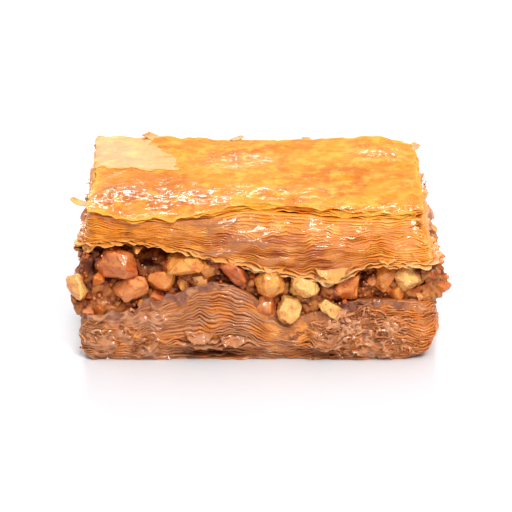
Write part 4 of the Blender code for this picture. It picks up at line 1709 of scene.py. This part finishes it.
class BAKLAVA_OT_filling(bpy.types.Operator):
    """Make the paste core and the chopped nuts"""

    bl_idname = "baklava.filling"
    bl_label = "Filling"

    def execute(self, context):
        paste_core(context.scene.baklava_nuts)
        chopped_nuts(context.scene.baklava_nuts)
        return {"FINISHED"}


class BAKLAVA_OT_crumbs(bpy.types.Operator):
    """Strew crumbs of ground nut over the filling's wall"""

    bl_idname = "baklava.crumbs"
    bl_label = "Crumbs"

    def execute(self, context):
        nuts = context.scene.baklava_nuts
        chance = random.Random(9)
        grit = new_piece("crumb", bpy.ops.mesh.primitive_ico_sphere_add, subdivisions=1, radius=0.5 * MM)
        shape = points_of(grit)
        copies = []
        for i, (place, out, _) in enumerate(rim_places(nuts.crumb_count, 11)):
            size = nuts.crumb_size / MM * chance.uniform(0.5, 1.6)
            if in_cavity(place, 0):
                continue
            piece = twin(grit, f"crumb_{i}")
            set_points(piece, turned(shape, chance) * size + place - out * chance.uniform(0.0, 0.5))
            toasted, skin, fresh = chance.random(), chance.choice((0, 0, 0.6, 1)), chance.choice((0, 0.6))
            set_shares(piece, toasted=toasted, skin=skin, fresh=fresh)
            copies.append(piece)
        drop_piece(grit)
        crumbs = joined(copies, "nut_crumbs")
        finish_piece(crumbs, kernel_finishes(nuts)["walnut"], "chopped_filling", angle=20)
        return {"FINISHED"}


# ---------------------------------------------------------------------------------------------------------
# Stage


def area_light(name, place, target, size, watts, tint="#FFFFFF"):
    """A rectangular lamp that faces its target."""
    data = bpy.data.lights.new(name, "AREA")
    data.shape = "RECTANGLE"
    data.size, data.size_y = size
    data.energy = watts
    data.color = linear(tint)
    lamp = bpy.data.objects.new(name, data)
    lamp.location = place
    lamp.rotation_euler = (Vector(target) - Vector(place)).to_track_quat("-Z", "Y").to_euler()
    bpy.context.scene.collection.objects.link(lamp)


class BAKLAVA_OT_stage(bpy.types.Operator):
    """Set the floor, the lights and the camera"""

    bl_idname = "baklava.stage"
    bl_label = "Stage"

    def execute(self, context):
        stage = context.scene.baklava_stage
        floor = new_piece("floor", bpy.ops.mesh.primitive_plane_add, size=6)
        made, add, place = new_material("white card", roughness=0.3, specular_ior_level=0.4)
        fibre = add("noise", place, per_metre(40.0), Detail=2.0)
        card = add("mix", fibre, stage.floor, [c * 0.985 for c in stage.floor])
        floor.data.materials.append(fed(made, base_color=card))

        world = bpy.data.worlds.new("soft white room")
        world.use_nodes = True
        sky = world.node_tree
        up = add_node(sky, "height", add_node(sky, "direction"))
        glow = add_node(sky, "ramp", up, 0.1, 0.75, 0.32, 1.08)
        sky.links.new(glow, sky.nodes["Background"].inputs["Strength"])
        sky.nodes["Background"].inputs["Color"].default_value = (1, 1, 1, 1)
        context.scene.world = world
        area_light("back softbox", (-0.04, 0.6, 0.4), (0, 0, 0.01), (0.22, 0.12), 2.3)
        area_light("front softbox", (0.26, -0.5, 0.66), (0, 0, 0.01), (0.34, 0.22), 5.2, "#FFFAF4")

        data = bpy.data.cameras.new("camera")
        data.lens = stage.lens
        data.sensor_width = 36
        data.clip_start = 0.05
        camera = bpy.data.objects.new("camera", data)
        aim = Vector((0.00006, 0, 0.0116))
        away = Vector((0, -math.cos(stage.elevation), math.sin(stage.elevation)))
        camera.location = aim + away * stage.distance
        camera.rotation_euler = (-away).to_track_quat("-Z", "Y").to_euler()
        context.scene.collection.objects.link(camera)
        context.scene.camera = camera
        context.scene.view_settings.view_transform = "Standard"
        return {"FINISHED"}


# ---------------------------------------------------------------------------------------------------------
# Panel and registration

STEPS = (
    BAKLAVA_OT_stage,
    BAKLAVA_OT_lower_leaves,
    BAKLAVA_OT_shreds,
    BAKLAVA_OT_upper_leaves,
    BAKLAVA_OT_crust,
    BAKLAVA_OT_flakes,
    BAKLAVA_OT_large_nuts,
    BAKLAVA_OT_filling,
    BAKLAVA_OT_crumbs,
)
GROUPS = (
    ("baklava_leaves", BaklavaLeaves),
    ("baklava_crust", BaklavaCrust),
    ("baklava_nuts", BaklavaNuts),
    ("baklava_stage", BaklavaStage),
)


class BAKLAVA_PT_panel(bpy.types.Panel):
    """The steps that build the baklava piece"""

    bl_label = "Baklava"
    bl_idname = "BAKLAVA_PT_panel"
    bl_space_type = "VIEW_3D"
    bl_region_type = "UI"
    bl_category = "Baklava"

    def draw(self, context):
        for step in STEPS:
            self.layout.operator(step.bl_idname)


def register():
    for step in STEPS:
        bpy.utils.register_class(step)
    for name, group in GROUPS:
        bpy.utils.register_class(group)
        setattr(bpy.types.Scene, name, PointerProperty(type=group))
    bpy.utils.register_class(BAKLAVA_PT_panel)


def unregister():
    bpy.utils.unregister_class(BAKLAVA_PT_panel)
    for name, group in reversed(GROUPS):
        delattr(bpy.types.Scene, name)
        bpy.utils.unregister_class(group)
    for step in reversed(STEPS):
        bpy.utils.unregister_class(step)


def main():
    register()
    for step in STEPS:
        area, name = step.bl_idname.split(".")
        getattr(getattr(bpy.ops, area), name)()


if __name__ == "__main__":
    main()
